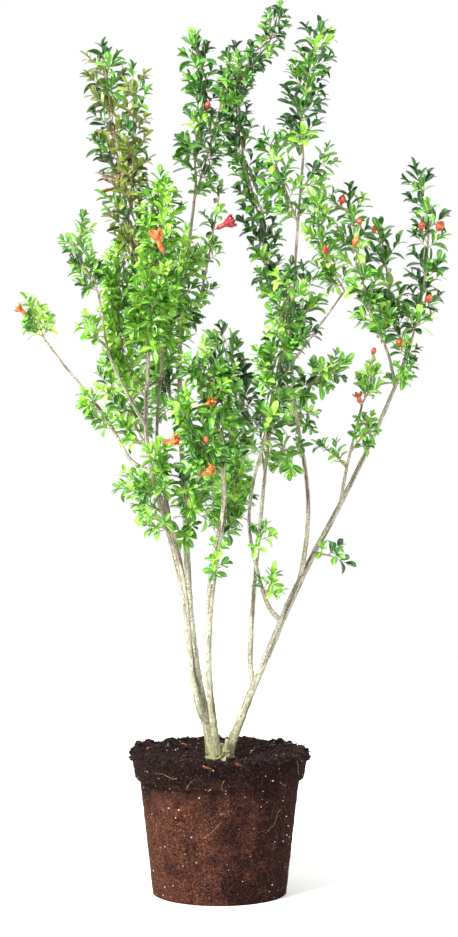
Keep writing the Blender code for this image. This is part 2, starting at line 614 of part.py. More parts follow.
class Growth:
    """One mass as it grows: where it may go, and the twigs and leaves that it has so far."""

    def __init__(self, name, skeletons, limbs):
        self.name = name
        self.skeletons = skeletons
        self.limbs = limbs
        self.reach = MASSES[name].reach
        self.scale = min(MOST_SCALE, max(LEAST_SCALE, self.reach / FULL_REACH))
        self.rng = random.Random(name)
        self.twigs = []
        self.leaves = []
        self.crowd = []

    def fits(self, samples, lead, gap):
        if not clear_of_limbs(samples, self.limbs, gap):
            return False
        return in_own_space(samples, self.name, self.skeletons, lead)

    def crowded(self, samples):
        """Whether a leaf would touch one that is there already."""
        for other in self.crowd:
            gaps = samples[:, None, :] - other[None, :, :]
            if (gaps * gaps).sum(2).min() < LEAF_CLEAR ** 2:
                return True
        return False

    def add_leaf(self, foot, along, face):
        """One leaf, turned or made smaller until it fits, or else none."""
        length = LEAF_LENGTH * self.scale * self.rng.uniform(*LEAF_VARIATION)
        width = LEAF_WIDTH * self.scale * self.rng.uniform(*LEAF_VARIATION)
        face = unit(face - along * face.dot(along))
        rolls = [self.rng.uniform(-LEAF_ROLL, LEAF_ROLL) for _ in range(3)]
        for share, number in LEAF_TRIES:
            roll = rolls[number]
            turned = face * math.cos(roll) + np.cross(along, face) * math.sin(roll)
            shape = leaf_shape(foot, along, turned, length * share, width * share)
            samples = leaf_samples(shape[0])
            if self.fits(samples, LEAF_LEAD, LIMB_CLEAR) and not self.crowded(samples):
                self.leaves.append(shape)
                self.crowd.append(samples)
                return

    def add_leaves(self, path):
        """A leaf at a twig's tip, and pairs below it, each pair turned a quarter from the last."""
        end = unit(path[-1] - path[-2])
        across = unit(np.cross(end, (self.rng.uniform(-1, 1), self.rng.uniform(-1, 1), 0.3)))
        self.add_leaf(path[-1] - end * TIP_LEAF_SINK, end, across)
        fine = sample_line(path, FINE_SPACING)
        position = len(fine) - TWIG_BARE_TIP // FINE_SPACING
        number = 0
        while position > TWIG_BARE_FOOT // FINE_SPACING:
            axis = unit(fine[position] - fine[position - 1])
            across = unit(across - axis * across.dot(axis))
            side = np.cross(axis, across) if number % 2 else across
            for direction in (side, -side):
                along = unit(axis * math.cos(LEAF_ANGLE) + direction * math.sin(LEAF_ANGLE))
                self.add_leaf(fine[position] - along * LEAF_SINK, along, axis)
            number += 1
            position -= int(PAIR_SPACING * self.scale / FINE_SPACING)

    def add_twig(self, foot, axis, outward, length):
        """A side twig that leaves steeply and then rises, shortened until it fits, or none."""
        first = axis * math.cos(LEAVING_ANGLE) + outward * math.sin(LEAVING_ANGLE)
        second = axis * math.cos(RISING_ANGLE) + outward * math.sin(RISING_ANGLE)
        for share in TWIG_TRIES:
            middle = foot + first * length * share / 2
            tip = middle + second * length * share / 2
            path = [foot, middle, tip] if length * share > LONG_TWIG else [foot, tip]
            if self.fits(sample_line(path)[2:], TWIG_LEAD, TWIG_LIMB_CLEAR):
                self.twigs.append(path)
                self.add_leaves(path)
                return

    def grow(self):
        """The leader's own leaves, and side twigs at the golden angle all the way up it."""
        leader = self.skeletons[self.name][0]
        fine = sample_line(leader, FINE_SPACING)
        turn = self.rng.uniform(0, 2 * math.pi)
        leaf_reach = LEAF_LENGTH * self.scale * math.sin(RISING_ANGLE)
        rise = (math.sin(LEAVING_ANGLE) + math.sin(RISING_ANGLE)) / 2
        self.crowd.append(fine[::2])
        self.add_leaves(leader)
        first = LEADER_BARE_FOOT // FINE_SPACING
        last = len(fine) - LEADER_BARE_TIP // FINE_SPACING
        for position in range(first, last, int(TWIG_SPACING * self.scale / FINE_SPACING)):
            gone = position / len(fine)
            axis = unit(fine[position + 1] - fine[position])
            level = unit(np.cross(axis, (0.2, 1, 0.1)))
            outward = level * math.cos(turn) + np.cross(axis, level) * math.sin(turn)
            width = self.reach * (1 - TWIG_TAPER * gone ** 2)
            length = (width - leaf_reach) / rise * self.rng.uniform(*TWIG_VARIATION)
            if length > SHORTEST_TWIG:
                self.add_twig(fine[position], axis, outward, length)
            turn += GOLDEN_ANGLE


def bloom_shape(path, bloom):
    """A trumpet whose mouth is sunk in the middle, or a bud that ends in a point."""
    foot = np.array(path[1])
    axis = unit(np.array(bloom.place, float) - foot)
    if bloom.width > BUD_WIDTH:
        rings, sides, end = OPEN_RINGS, OPEN_SIDES, OPEN_THROAT
    else:
        rings, sides, end = BUD_RINGS, BUD_SIDES, BUD_TIP
    outline = np.array([foot + axis * bloom.length * share for share, _ in rings])
    vertices, faces = tube_mesh(outline, [bloom.width * share for _, share in rings], sides)
    faces.pop()
    vertices.append(foot + axis * bloom.length * end)
    last = len(vertices) - 1
    faces += [(last - sides + side, last - sides + (side + 1) % sides, last) for side in range(sides)]
    return vertices, faces


def make_mass(name, skeletons, limbs, paths, radii, materials):
    """One mass: its leader, with twigs, leaves and blooms all joined to it."""
    mass = MASSES[name]
    leader, blooms, _, _ = skeletons[name]
    growth = Growth(name, skeletons, limbs)
    growth.grow()
    taper = np.linspace(LEADER_RADIUS, TWIG_TIP_RADIUS, len(leader))
    made = make_object(name, *tube_mesh(leader, taper, TWIG_SIDES), materials["bark"])
    if mass.height is not TIP:
        apply_boolean(made, "DIFFERENCE", other=swollen_limb(mass.host, paths, radii))
        keep_largest_body(made)
    parts = bpy.data.collections.new(name + "_parts")
    bpy.context.scene.collection.children.link(parts)
    for twig in growth.twigs:
        taper = np.linspace(TWIG_RADIUS, TWIG_TIP_RADIUS, len(twig))
        make_object("twig", *tube_mesh(np.array(twig), taper, TWIG_SIDES), materials["bark"], parts)
    for bloom, path in blooms:
        make_object("twig", *tube_mesh(np.array(path), [TWIG_RADIUS] * 2, TWIG_SIDES),
                    materials["bark"], parts)
        make_object("bloom", *bloom_shape(path, bloom), materials["petals"], parts)
    for leaf in growth.leaves:
        make_object("leaf", *leaf, materials[mass.tint], parts)
    apply_boolean(made, "UNION", collection=parts)
    keep_largest_body(made)
    return len(growth.twigs), len(growth.leaves), len(made.data.loop_triangles)


def main():
    clear_scene()
    materials = {name: make_material(name) for name in COLOURS}
    make_root_ball(materials["root_ball"])
    make_root_crown(materials["bark"])
    paths, radii = make_limbs(materials["bark"])
    limbs = limb_bones(paths, radii)
    skeletons = make_skeletons(paths)
    total = 0
    for name in MASSES:
        twigs, leaves, triangles = make_mass(name, skeletons, limbs, paths, radii, materials)
        total += leaves
        print(name, twigs, "twigs", leaves, "leaves", triangles, "triangles")
    print(total, "leaves in all")


main()
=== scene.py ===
# %% [markdown]
# # A pomegranate tree of several stems, on its root ball
# The solid model of the tree is packed elsewhere. It has the right places and sizes, but its leaves
# are few and large, and its bark and soil are plain. This script loads it as a frame and dresses it:
# soil with roots in it, bark with relief, thousands of leaves, and the blossom.
# Places are in millimetres, as in the model's own source, and each mesh is made in metres at the end.

# %% Load the frame
import json
import math
import random
from collections import namedtuple

import bmesh
import bpy
import numpy as np
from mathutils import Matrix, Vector, noise

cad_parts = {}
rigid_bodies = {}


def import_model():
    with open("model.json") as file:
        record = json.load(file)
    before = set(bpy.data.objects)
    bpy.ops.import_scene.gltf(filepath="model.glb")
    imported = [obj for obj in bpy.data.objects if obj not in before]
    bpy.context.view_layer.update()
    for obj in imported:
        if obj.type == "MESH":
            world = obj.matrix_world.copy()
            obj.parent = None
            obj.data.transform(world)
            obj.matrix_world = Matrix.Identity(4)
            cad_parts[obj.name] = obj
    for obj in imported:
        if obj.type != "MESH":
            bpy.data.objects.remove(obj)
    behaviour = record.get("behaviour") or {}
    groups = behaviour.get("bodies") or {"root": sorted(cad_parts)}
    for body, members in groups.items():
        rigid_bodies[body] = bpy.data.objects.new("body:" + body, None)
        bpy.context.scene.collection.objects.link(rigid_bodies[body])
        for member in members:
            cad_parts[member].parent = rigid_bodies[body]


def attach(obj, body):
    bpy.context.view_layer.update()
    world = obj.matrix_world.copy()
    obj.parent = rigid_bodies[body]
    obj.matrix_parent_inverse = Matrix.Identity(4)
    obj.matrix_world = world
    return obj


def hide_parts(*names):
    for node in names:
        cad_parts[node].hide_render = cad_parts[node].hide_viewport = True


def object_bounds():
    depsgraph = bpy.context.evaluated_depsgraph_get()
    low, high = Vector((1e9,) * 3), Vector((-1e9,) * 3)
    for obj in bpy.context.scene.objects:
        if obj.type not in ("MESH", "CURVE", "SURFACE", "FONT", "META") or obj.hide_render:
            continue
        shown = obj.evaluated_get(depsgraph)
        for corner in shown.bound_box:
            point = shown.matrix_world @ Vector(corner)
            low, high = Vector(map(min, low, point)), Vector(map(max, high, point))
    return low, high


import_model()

MM = 0.001
cad_low, cad_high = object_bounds()
print("model box in mm:", [round(c / MM) for c in cad_low], [round(c / MM) for c in cad_high])

# %% [markdown]
# ## Helpers for colours and nodes
# A colour that is read off a screen is an sRGB value, and a shader needs a linear one, so one
# function turns hex values round. Another adds a node, sets it and links it in one call, for
# materials and for Geometry Nodes alike, so that a whole tree reads as a list of what it does.

# %% Colours, nodes and materials
def linear(hex_colour):
    """A linear RGBA colour from an sRGB hex value."""
    parts = [int(hex_colour[i:i + 2], 16) / 255 for i in (1, 3, 5)]
    return [c / 12.92 if c <= 0.04045 else ((c + 0.055) / 1.055) ** 2.4 for c in parts] + [1]


def add_node(tree, kind, inputs=None, stops=None, **settings):
    """Add a node, set its own settings, and set or link its inputs by name or number."""
    node = tree.nodes.new(kind)
    for name, value in settings.items():
        setattr(node, name, value)
    for socket, value in (inputs or {}).items():
        if isinstance(value, bpy.types.NodeSocket):
            tree.links.new(value, node.inputs[socket])
        else:
            node.inputs[socket].default_value = value
    for number, (place, colour) in enumerate(stops or []):
        ramp = node.color_ramp.elements
        stop = ramp[number] if number < 2 else ramp.new(place)
        stop.position = place
        stop.color = linear(colour)
    return node


# A Mix node has a set of sockets for each kind of value, and these are the ones for colours
MIX_A = 6
MIX_B = 7
MIX_RESULT = 2


def new_material(name, **fixed):
    """A material, with the numbers that are the same all over set on its shader's own sockets."""
    material = bpy.data.materials.new(name)
    material.use_nodes = True
    shader = material.node_tree.nodes["Principled BSDF"]
    for socket, value in fixed.items():
        shader.inputs[socket.replace("_", " ")].default_value = value
    return material, material.node_tree, shader


# %% [markdown]
# ## Helpers for meshes
# Arrays of points are quick to work on all at once. Long thin things, such as twigs and roots,
# could each be a curve object, but hundreds of objects are slow. Here all the lines of one kind are
# a single mesh of edges, with its thickness stored on each point, and one tree of Geometry Nodes
# turns them all into tubes.

# %% Meshes and Geometry Nodes
def make_mesh(name, vertices, faces, edges=()):
    """A mesh in metres, from points in millimetres."""
    mesh = bpy.data.meshes.new(name)
    mesh.from_pydata((np.asarray(vertices, float) * MM).tolist(), list(edges), faces)
    return mesh


def add_attribute(mesh, name, values):
    """Store one number, or one vector, for each point of a mesh."""
    values = np.asarray(values)
    kind = "INT" if values.dtype.kind == "i" else "FLOAT"
    layer = mesh.attributes.new(name, "FLOAT_VECTOR" if values.ndim > 1 else kind, "POINT")
    layer.data.foreach_set("vector" if values.ndim > 1 else "value", values.ravel())


def add_piece(name, vertices, faces, material, **attributes):
    """A smooth piece of one material, with what that material reads stored on its points."""
    mesh = make_mesh(name, vertices, faces)
    for label, values in attributes.items():
        add_attribute(mesh, label, values)
    mesh.shade_smooth()
    mesh.materials.append(material)
    piece = bpy.data.objects.new(name, mesh)
    scene.collection.objects.link(piece)
    print(name, len(mesh.polygons), "faces")
    return piece


def ring_turns(count):
    """Turns in radians, spread evenly round a ring."""
    return np.arange(count) * 2 * math.pi / count


def ring_faces(start, rings, sides):
    """Quads between rings of points, and a cap at each end."""
    faces = [tuple(start + side for side in reversed(range(sides)))]
    first = np.arange(sides)
    following = (first + 1) % sides
    for ring in range(rings - 1):
        base = start + ring * sides
        faces += np.stack([base + first, base + following, base + following + sides,
                           base + first + sides], axis=1).tolist()
    last = start + (rings - 1) * sides
    faces.append(tuple(range(last, last + sides)))
    return faces


def new_tree(name, sockets):
    """Geometry Nodes with named inputs, and the sockets that give them."""
    tree = bpy.data.node_groups.new(name, "GeometryNodeTree")
    for label, kind in {"Geometry": "Geometry", **sockets}.items():
        tree.interface.new_socket(label, in_out="INPUT", socket_type="NodeSocket" + kind)
    tree.interface.new_socket("Geometry", in_out="OUTPUT", socket_type="NodeSocketGeometry")
    return tree, tree.nodes.new("NodeGroupInput").outputs


def end_tree(tree, geometry, material):
    """End a tree in real faces of one material."""
    real = add_node(tree, "GeometryNodeRealizeInstances", {"Geometry": geometry})
    done = add_node(tree, "GeometryNodeSetMaterial", {
        "Geometry": real.outputs["Geometry"], "Material": material})
    add_node(tree, "NodeGroupOutput", {"Geometry": done.outputs["Geometry"]})


def run_tree(name, mesh, tree, inputs):
    """Run a tree on a mesh, and keep what it makes as a plain mesh."""
    piece = bpy.data.objects.new(name, mesh)
    scene.collection.objects.link(piece)
    modifier = piece.modifiers.new(tree.name, "NODES")
    modifier.node_group = tree
    for socket in tree.interface.items_tree:
        if socket.in_out == "INPUT" and socket.name in inputs:
            modifier[socket.identifier] = inputs[socket.name]
    bpy.context.view_layer.update()
    graph = bpy.context.evaluated_depsgraph_get()
    made = bpy.data.meshes.new_from_object(piece.evaluated_get(graph), preserve_all_data_layers=True,
                                           depsgraph=graph)
    piece.modifiers.remove(modifier)
    piece.data = made
    made.name = name
    made.calc_loop_triangles()
    print(name, len(made.loop_triangles), "triangles")
    return piece


scene = bpy.context.scene
tube_tree, given = new_tree("tubes along lines", {"Sides": "Int", "Material": "Material"})
thickness = add_node(tube_tree, "GeometryNodeInputNamedAttribute", {
    "Name": "thickness"}, data_type="FLOAT")
lines = add_node(tube_tree, "GeometryNodeMeshToCurve", {"Mesh": given["Geometry"]})
ring = add_node(tube_tree, "GeometryNodeCurvePrimitiveCircle", {
    "Resolution": given["Sides"], "Radius": 1.0})
tubes = add_node(tube_tree, "GeometryNodeCurveToMesh", {
    "Curve": lines.outputs["Curve"], "Profile Curve": ring.outputs["Curve"],
    "Scale": thickness.outputs["Attribute"], "Fill Caps": True})
end_tree(tube_tree, tubes.outputs["Mesh"], given["Material"])


def make_tubes(name, paths, profile, sides, material, sizes=None):
    """Closed tubes along many paths, each with the profile's radii, times its own size."""
    counts = [len(path) for path in paths]
    starts = np.cumsum([0, *counts[:-1]])
    edges = [(start + k, start + k + 1)
             for start, count in zip(starts, counts) for k in range(count - 1)]
    mesh = make_mesh(name, np.concatenate(paths), [], edges)
    stations = np.arange(len(profile))
    radii = [np.interp(np.linspace(0, stations[-1], count), stations, profile) for count in counts]
    sizes = np.repeat(sizes or [1] * len(paths), counts)
    add_attribute(mesh, "thickness", np.concatenate(radii) * sizes * MM)
    return run_tree(name, mesh, tube_tree, {"Sides": sides, "Material": material})


# %% [markdown]
# ## Camera, lights and floor
# The plant stood on a white sweep in even light, and was seen from far off, a little above its
# middle. So the camera has a long lens, the sky is plain white, and three soft boxes and a pale
# floor give shadows that are only just there.

# %% Stage
EYE = (0.014725, -3.5, 0.76)
DEGREES_DOWN = 1.644
LENS = 86.79
SENSOR_WIDTH = 36
# Each lamp's place, size and power
LAMPS = {"key": ((-2.4, -2.6, 3.4), 1.4, 440), "fill": ((2.6, -2.2, 1.6), 2.2, 16),
         "back": ((0.8, 2.8, 3.0), 2.2, 70)}
PLANT_MIDDLE = Vector((0, 0, 0.7))
FLOOR_RADIUS = 3200
FLOOR_SIDES = 96

scene.view_settings.view_transform = "Standard"
camera = bpy.data.objects.new("camera", bpy.data.cameras.new("camera"))
camera.data.lens = LENS
camera.data.sensor_width = SENSOR_WIDTH
camera.location = EYE
camera.rotation_euler = (math.radians(90 - DEGREES_DOWN), 0, 0)
scene.collection.objects.link(camera)
scene.camera = camera

for name, (place, size, power) in LAMPS.items():
    lamp = bpy.data.objects.new(name, bpy.data.lights.new(name, "AREA"))
    lamp.data.size = size
    lamp.data.energy = power
    lamp.location = place
    lamp.rotation_euler = (PLANT_MIDDLE - lamp.location).to_track_quat("-Z", "Y").to_euler()
    scene.collection.objects.link(lamp)

scene.world = bpy.data.worlds.new("white sweep")
scene.world.use_nodes = True
sky = scene.world.node_tree.nodes["Background"].inputs
sky["Color"].default_value = (1, 1, 1, 1)
sky["Strength"].default_value = 1.0

turns = ring_turns(FLOOR_SIDES)
rim = np.stack([np.cos(turns), np.sin(turns), 0 * turns], axis=1) * FLOOR_RADIUS
floor = bpy.data.objects.new("floor", make_mesh("floor", rim, [tuple(range(FLOOR_SIDES))]))
white_paint, _, _ = new_material(
    "matt white studio floor", Roughness=0.9, Base_Color=linear("#f2f1ee"))
floor.data.materials.append(white_paint)
scene.collection.objects.link(floor)
print("camera at", tuple(camera.location))

# %% [markdown]
# ## The root ball's form
# When a nursery pot is pulled off, the soil keeps its shape: tapered, with the wide lip of the pot.
# The sides are smooth, because they were pressed on the plastic, and the rim and the top are loose
# crumbs. It could be sculpted, or a remeshed solid could be displaced. Here the same profile as in
# the model is turned round in fine steps and pushed in and out by noise, because the strength of the
# noise can then follow the profile, from almost none on the sides to whole crumbs on the rim.

# %% Root ball profile
BALL_HEIGHT = 225
BALL_BASE_RADIUS = 104
BALL_BODY_RADIUS = 124
BALL_RIM_RADIUS = 137
LIP_HEIGHT = 44
LIP_STEP = 6
RIM_ROUNDING = 7
SOIL_DEPTH = 19
SOIL_FLAT_RADIUS = 42
RIM_LUMP = 4.5
SOIL_LEVEL = BALL_HEIGHT - SOIL_DEPTH
BALL_COLUMNS = 330
BALL_STEP = 2.3

dish_radius = BALL_RIM_RADIUS - 22
body_top = BALL_HEIGHT - LIP_HEIGHT
body_middle = (BALL_BASE_RADIUS + BALL_BODY_RADIUS) / 2
# Each row is a radius, a height, how ragged the edge is there, and how coarse the crumbs are
BALL_PROFILE = np.array([
    (BALL_BASE_RADIUS, 0, 0, 0),
    (body_middle, body_top / 2, 0.4, 1.0),
    (BALL_BODY_RADIUS, body_top - 2, 0.2, 1.0),
    (BALL_RIM_RADIUS - LIP_STEP, body_top, 0.2, 1.2),
    (BALL_RIM_RADIUS, BALL_HEIGHT - RIM_ROUNDING, 0.6, 1.8),
    (BALL_RIM_RADIUS - RIM_ROUNDING, BALL_HEIGHT, 1.0, 3.8),
    (dish_radius, BALL_HEIGHT - 5, 1.0, 3.6),
    ((dish_radius + SOIL_FLAT_RADIUS) / 2, SOIL_LEVEL + 4, 0.8, 3.0),
    (SOIL_FLAT_RADIUS, SOIL_LEVEL, 0, 2.2),
    (4, SOIL_LEVEL, 0, 2.0),
])


def turned_rows():
    """The profile's rows at every column, with the rim's own unevenness, in fine steps."""
    turn = ring_turns(BALL_COLUMNS)
    radius, height, ragged, _ = (BALL_PROFILE[:, k, None] for k in range(4))
    lump = np.sin(3 * turn + 1) + 0.7 * np.sin(7 * turn + height) + 0.5 * np.sin(11 * turn)
    lump = np.abs(lump) * RIM_LUMP * ragged / 2
    coarse = np.stack([radius - lump / 2, height - lump], axis=2)
    steps = np.linalg.norm(np.diff(BALL_PROFILE[:, :2], axis=0), axis=1)
    run = np.concatenate([[0], np.cumsum(steps)])
    fine = np.linspace(0, run[-1], round(run[-1] / BALL_STEP))
    rows = np.array([[np.interp(fine, run, coarse[:, column, axis]) for axis in (0, 1)]
                     for column in range(BALL_COLUMNS)])
    crumbs = np.interp(fine, run, BALL_PROFILE[:, 3])
    return turn, rows.transpose(2, 0, 1), crumbs


def crumb_noise(place, size, seed):
    """Noise from about -1 to 1, with lumps of about a size in millimetres."""
    return noise.noise(Vector(place) / size + Vector((seed, 0, 0)))


def make_ball_grid():
    """The ball's points, row by row from the underside up the side and in over the top."""
    turn, rows, crumbs = turned_rows()
    slope = np.gradient(rows, axis=0)
    slope /= np.linalg.norm(slope, axis=2, keepdims=True)
    outward, upward = slope[:, :, 1], -slope[:, :, 0]
    grid = np.zeros((len(rows), BALL_COLUMNS, 3))
    for row in range(len(rows)):
        for column in range(BALL_COLUMNS):
            radius, height = rows[row, column]
            cos, sin = math.cos(turn[column]), math.sin(turn[column])
            place = (radius * cos, radius * sin, height)
            push = 0.55 * crumb_noise(place, 13, 0) + 0.5 * crumb_noise(place, 6, 9)
            push += 0.3 * crumb_noise(place, 3, 5) + 0.35 * abs(crumb_noise(place, 20, 3))
            push *= crumbs[row]
            side = outward[row, column] * push
            grid[row, column] = (place[0] + side * cos, place[1] + side * sin,
                                 place[2] + upward[row, column] * push)
    grid[:, :, 2] = np.maximum(grid[:, :, 2], 0)
    return grid


ball_grid = make_ball_grid()
print("root ball grid", ball_grid.shape)


# %% [markdown]
# ## The root ball's surface
# The body of the ball is a mat of fine reddish roots with dark peat between them, mottled in patches,
# and the lip and the top are bare crumbs of nearly black peat. One material does both: noise at the
# size of a crumb gives light and dark, larger noise gives the patches, and the height decides how
# much root mat there is. The peat is dry and rough, so it has almost no shine.

# %% Peat and root mat
def make_peat():
    material, tree, shader = new_material(
        "peat soil with root mat", Roughness=0.95, Specular_IOR_Level=0.06)
    place = add_node(tree, "ShaderNodeTexCoord").outputs["Object"]
    crumbs = add_node(tree, "ShaderNodeTexNoise", {
        "Vector": place, "Scale": 1 / (3.5 * MM), "Detail": 5.0, "Roughness": 0.7})
    fibres = add_node(tree, "ShaderNodeTexNoise", {
        "Vector": place, "Scale": 1 / (6 * MM), "Detail": 6.0, "Roughness": 0.75, "Distortion": 2.5})
    patches = add_node(tree, "ShaderNodeTexNoise", {
        "Vector": place, "Scale": 1 / (70 * MM), "Detail": 3.0, "Roughness": 0.6})
    damp = add_node(tree, "ShaderNodeTexNoise", {
        "Vector": place, "Scale": 1 / (38 * MM), "Detail": 4.0, "Roughness": 0.7})
    peat = add_node(tree, "ShaderNodeValToRGB", {"Fac": crumbs.outputs["Fac"]}, stops=[
        (0.34, "#050303"), (0.50, "#150c0b"), (0.60, "#2c1b18"), (0.72, "#604238")])
    mat = add_node(tree, "ShaderNodeValToRGB", {"Fac": fibres.outputs["Fac"]}, stops=[
        (0.34, "#0b0505"), (0.46, "#2d1812"), (0.56, "#583527"), (0.72, "#9e6b4f")])
    dark_mat = add_node(tree, "ShaderNodeValToRGB", {"Fac": fibres.outputs["Fac"]}, stops=[
        (0.34, "#060303"), (0.47, "#190d0c"), (0.58, "#351f1d"), (0.74, "#62413b")])
    sides = add_node(tree, "ShaderNodeSeparateXYZ", {"Vector": place})
    # The root mat is darker towards the right than the left, by this much for each metre, in patches
    rightward_darkening = add_node(tree, "ShaderNodeMath", {
        0: sides.outputs["X"], 1: 1.3, 2: damp.outputs["Fac"]}, operation="MULTIPLY_ADD")
    darker_share = add_node(tree, "ShaderNodeMapRange", {
        "Value": rightward_darkening.outputs["Value"], "From Min": 0.38, "From Max": 0.58})
    mottled = add_node(tree, "ShaderNodeMix", {
        0: darker_share.outputs["Result"], MIX_A: mat.outputs["Color"],
        MIX_B: dark_mat.outputs["Color"]}, data_type="RGBA")
    lift = add_node(tree, "ShaderNodeMath", {
        0: patches.outputs["Fac"], 1: 0.20, 2: sides.outputs["Z"]}, operation="MULTIPLY_ADD")
    bare = add_node(tree, "ShaderNodeMapRange", {
        "Value": lift.outputs["Value"], "From Min": 0.235, "From Max": 0.290})
    both = add_node(tree, "ShaderNodeMix", {
        0: bare.outputs["Result"], MIX_A: mottled.outputs[MIX_RESULT],
        MIX_B: peat.outputs["Color"]}, data_type="RGBA")
    tree.links.new(both.outputs[MIX_RESULT], shader.inputs["Base Color"])
    bump = add_node(tree, "ShaderNodeBump", {
        "Height": crumbs.outputs["Fac"], "Strength": 0.8, "Distance": 1.5 * MM})
    tree.links.new(bump.outputs["Normal"], shader.inputs["Normal"])
    return material


def make_ball():
    """The ball's skin, which also stores how many loose crumbs lie at each point."""
    places = ball_grid.reshape(-1, 3)
    loose = np.interp(places[:, 2], [BALL_HEIGHT - 18, BALL_HEIGHT - 4], [0, 1])
    inner = np.linalg.norm(places[:, :2], axis=1) < BALL_BODY_RADIUS
    crumbs = np.where(inner & (places[:, 2] > body_top), 1.0, loose)
    faces = ring_faces(0, len(ball_grid), BALL_COLUMNS)
    return add_piece("root_ball_soil", places, faces, make_peat(), crumbs=crumbs)


ball = make_ball()

# %% [markdown]
# ## Crumbs, perlite and roots on the ball
# Loose crumbs stand up along the rim and on the top, and white grains of perlite show everywhere.
# Each kind is a few lumpy shapes that Geometry Nodes scatters over the ball's own surface by a fixed
# seed. The fine roots wander over the surface: each is a short walk over the ball's grid of points,
# which keeps it exactly on the soil, and the tube tree gives it its thickness.

# %% Scattered grains
def make_lump(name, seed, flatness, rough):
    """A small lumpy stone of eighty faces and about unit size."""
    shape = bmesh.new()
    bmesh.ops.create_icosphere(shape, subdivisions=2, radius=0.5)
    for vertex in shape.verts:
        push = 1 + rough * noise.noise(vertex.co * 3 + Vector((seed, 0, 0)))
        vertex.co = (vertex.co.x * push, vertex.co.y * push * 0.85, vertex.co.z * push * flatness)
    mesh = bpy.data.meshes.new(name)
    shape.to_mesh(mesh)
    shape.free()
    return bpy.data.objects.new(name, mesh)


def make_forms(name, count, flatness, rough):
    """A hidden collection of lumps for a tree to pick from."""
    forms = bpy.data.collections.new(name)
    for number in range(count):
        forms.objects.link(make_lump(f"{name}_{number}", number * 7.3, flatness, rough))
    return forms


scatter_tree, given = new_tree("scatter on a surface", {
    "Forms": "Collection", "Per square metre": "Float", "Smallest": "Float", "Largest": "Float",
    "Seed": "Int", "Material": "Material"})
share = add_node(scatter_tree, "GeometryNodeInputNamedAttribute", {"Name": "crumbs"}, data_type="FLOAT")
density = add_node(scatter_tree, "ShaderNodeMath", {
    0: share.outputs["Attribute"], 1: given["Per square metre"]}, operation="MULTIPLY")
points = add_node(scatter_tree, "GeometryNodeDistributePointsOnFaces", {
    "Mesh": given["Geometry"], "Density": density.outputs["Value"], "Seed": given["Seed"]})
turn = add_node(scatter_tree, "FunctionNodeRandomValue", {
    0: (-0.6, -0.6, 0), 1: (0.6, 0.6, 6.28), "Seed": given["Seed"]}, data_type="FLOAT_VECTOR")
turned = add_node(scatter_tree, "FunctionNodeEulerToRotation", {"Euler": turn.outputs["Value"]})
chance = add_node(scatter_tree, "FunctionNodeRandomValue", {"Seed": given["Seed"]}, data_type="FLOAT")
# The third power makes most grains small and a few large
skewed = add_node(scatter_tree, "ShaderNodeMath", {0: chance.outputs[1], 1: 3.0}, operation="POWER")
size = add_node(scatter_tree, "ShaderNodeMapRange", {
    "Value": skewed.outputs["Value"], "To Min": given["Smallest"], "To Max": given["Largest"]})
forms = add_node(scatter_tree, "GeometryNodeCollectionInfo", {
    "Collection": given["Forms"], "Separate Children": True, "Reset Children": True})
lumps = add_node(scatter_tree, "GeometryNodeInstanceOnPoints", {
    "Points": points.outputs["Points"], "Instance": forms.outputs["Instances"], "Pick Instance": True,
    "Rotation": turned.outputs["Rotation"], "Scale": size.outputs["Result"]})
end_tree(scatter_tree, lumps.outputs["Instances"], given["Material"])


def make_grain(name, low, middle, high, grain, roughness):
    """A dry, mottled material for small grains."""
    material, tree, shader = new_material(name, Roughness=roughness, Specular_IOR_Level=0.25)
    place = add_node(tree, "ShaderNodeTexCoord").outputs["Object"]
    mottle = add_node(tree, "ShaderNodeTexNoise", {
        "Vector": place, "Scale": 1 / (grain * MM), "Detail": 4.0, "Roughness": 0.65})
    colour = add_node(tree, "ShaderNodeValToRGB", {"Fac": mottle.outputs["Fac"]}, stops=[
        (0.35, low), (0.50, middle), (0.68, high)])
    tree.links.new(colour.outputs["Color"], shader.inputs["Base Color"])
    bump = add_node(tree, "ShaderNodeBump", {
        "Height": mottle.outputs["Fac"], "Strength": 0.6, "Distance": grain * MM / 6})
    tree.links.new(bump.outputs["Normal"], shader.inputs["Normal"])
    return material


def scatter(name, mesh, forms, per_square_metre, smallest, largest, seed, material):
    return run_tree(name, mesh.copy(), scatter_tree, {
        "Forms": forms, "Per square metre": per_square_metre, "Smallest": smallest * MM,
        "Largest": largest * MM, "Seed": seed, "Material": material})


crumb_forms = make_forms("crumb", 4, 0.75, 0.9)
chip_forms = make_forms("chip", 3, 0.28, 0.6)
everywhere = ball.data.copy()
above_floor = np.where(ball_grid[:, :, 2].ravel() > 4, 1.0, 0.0)
everywhere.attributes["crumbs"].data.foreach_set("value", above_floor)
crumb_soil = make_grain("loose peat crumbs", "#080404", "#1a0f0e", "#352019", 4, 0.95)
perlite = make_grain("expanded perlite", "#9a8986", "#c4b5b0", "#e4dcd8", 1.2, 0.8)
pine_bark = make_grain("composted pine bark", "#3c1b0e", "#7c3c1c", "#b86a34", 5, 0.85)
ball_pieces = [
    ball,
    scatter("soil_crumbs", ball.data, crumb_forms, 13000, 2.5, 12, 4, crumb_soil),
    scatter("soil_clods", ball.data, crumb_forms, 900, 8, 21, 9, crumb_soil),
    scatter("perlite_grains", everywhere, crumb_forms, 2900, 0.5, 2.8, 11, perlite),
    scatter("bark_chips", ball.data, chip_forms, 300, 7, 15, 2, pine_bark),
]


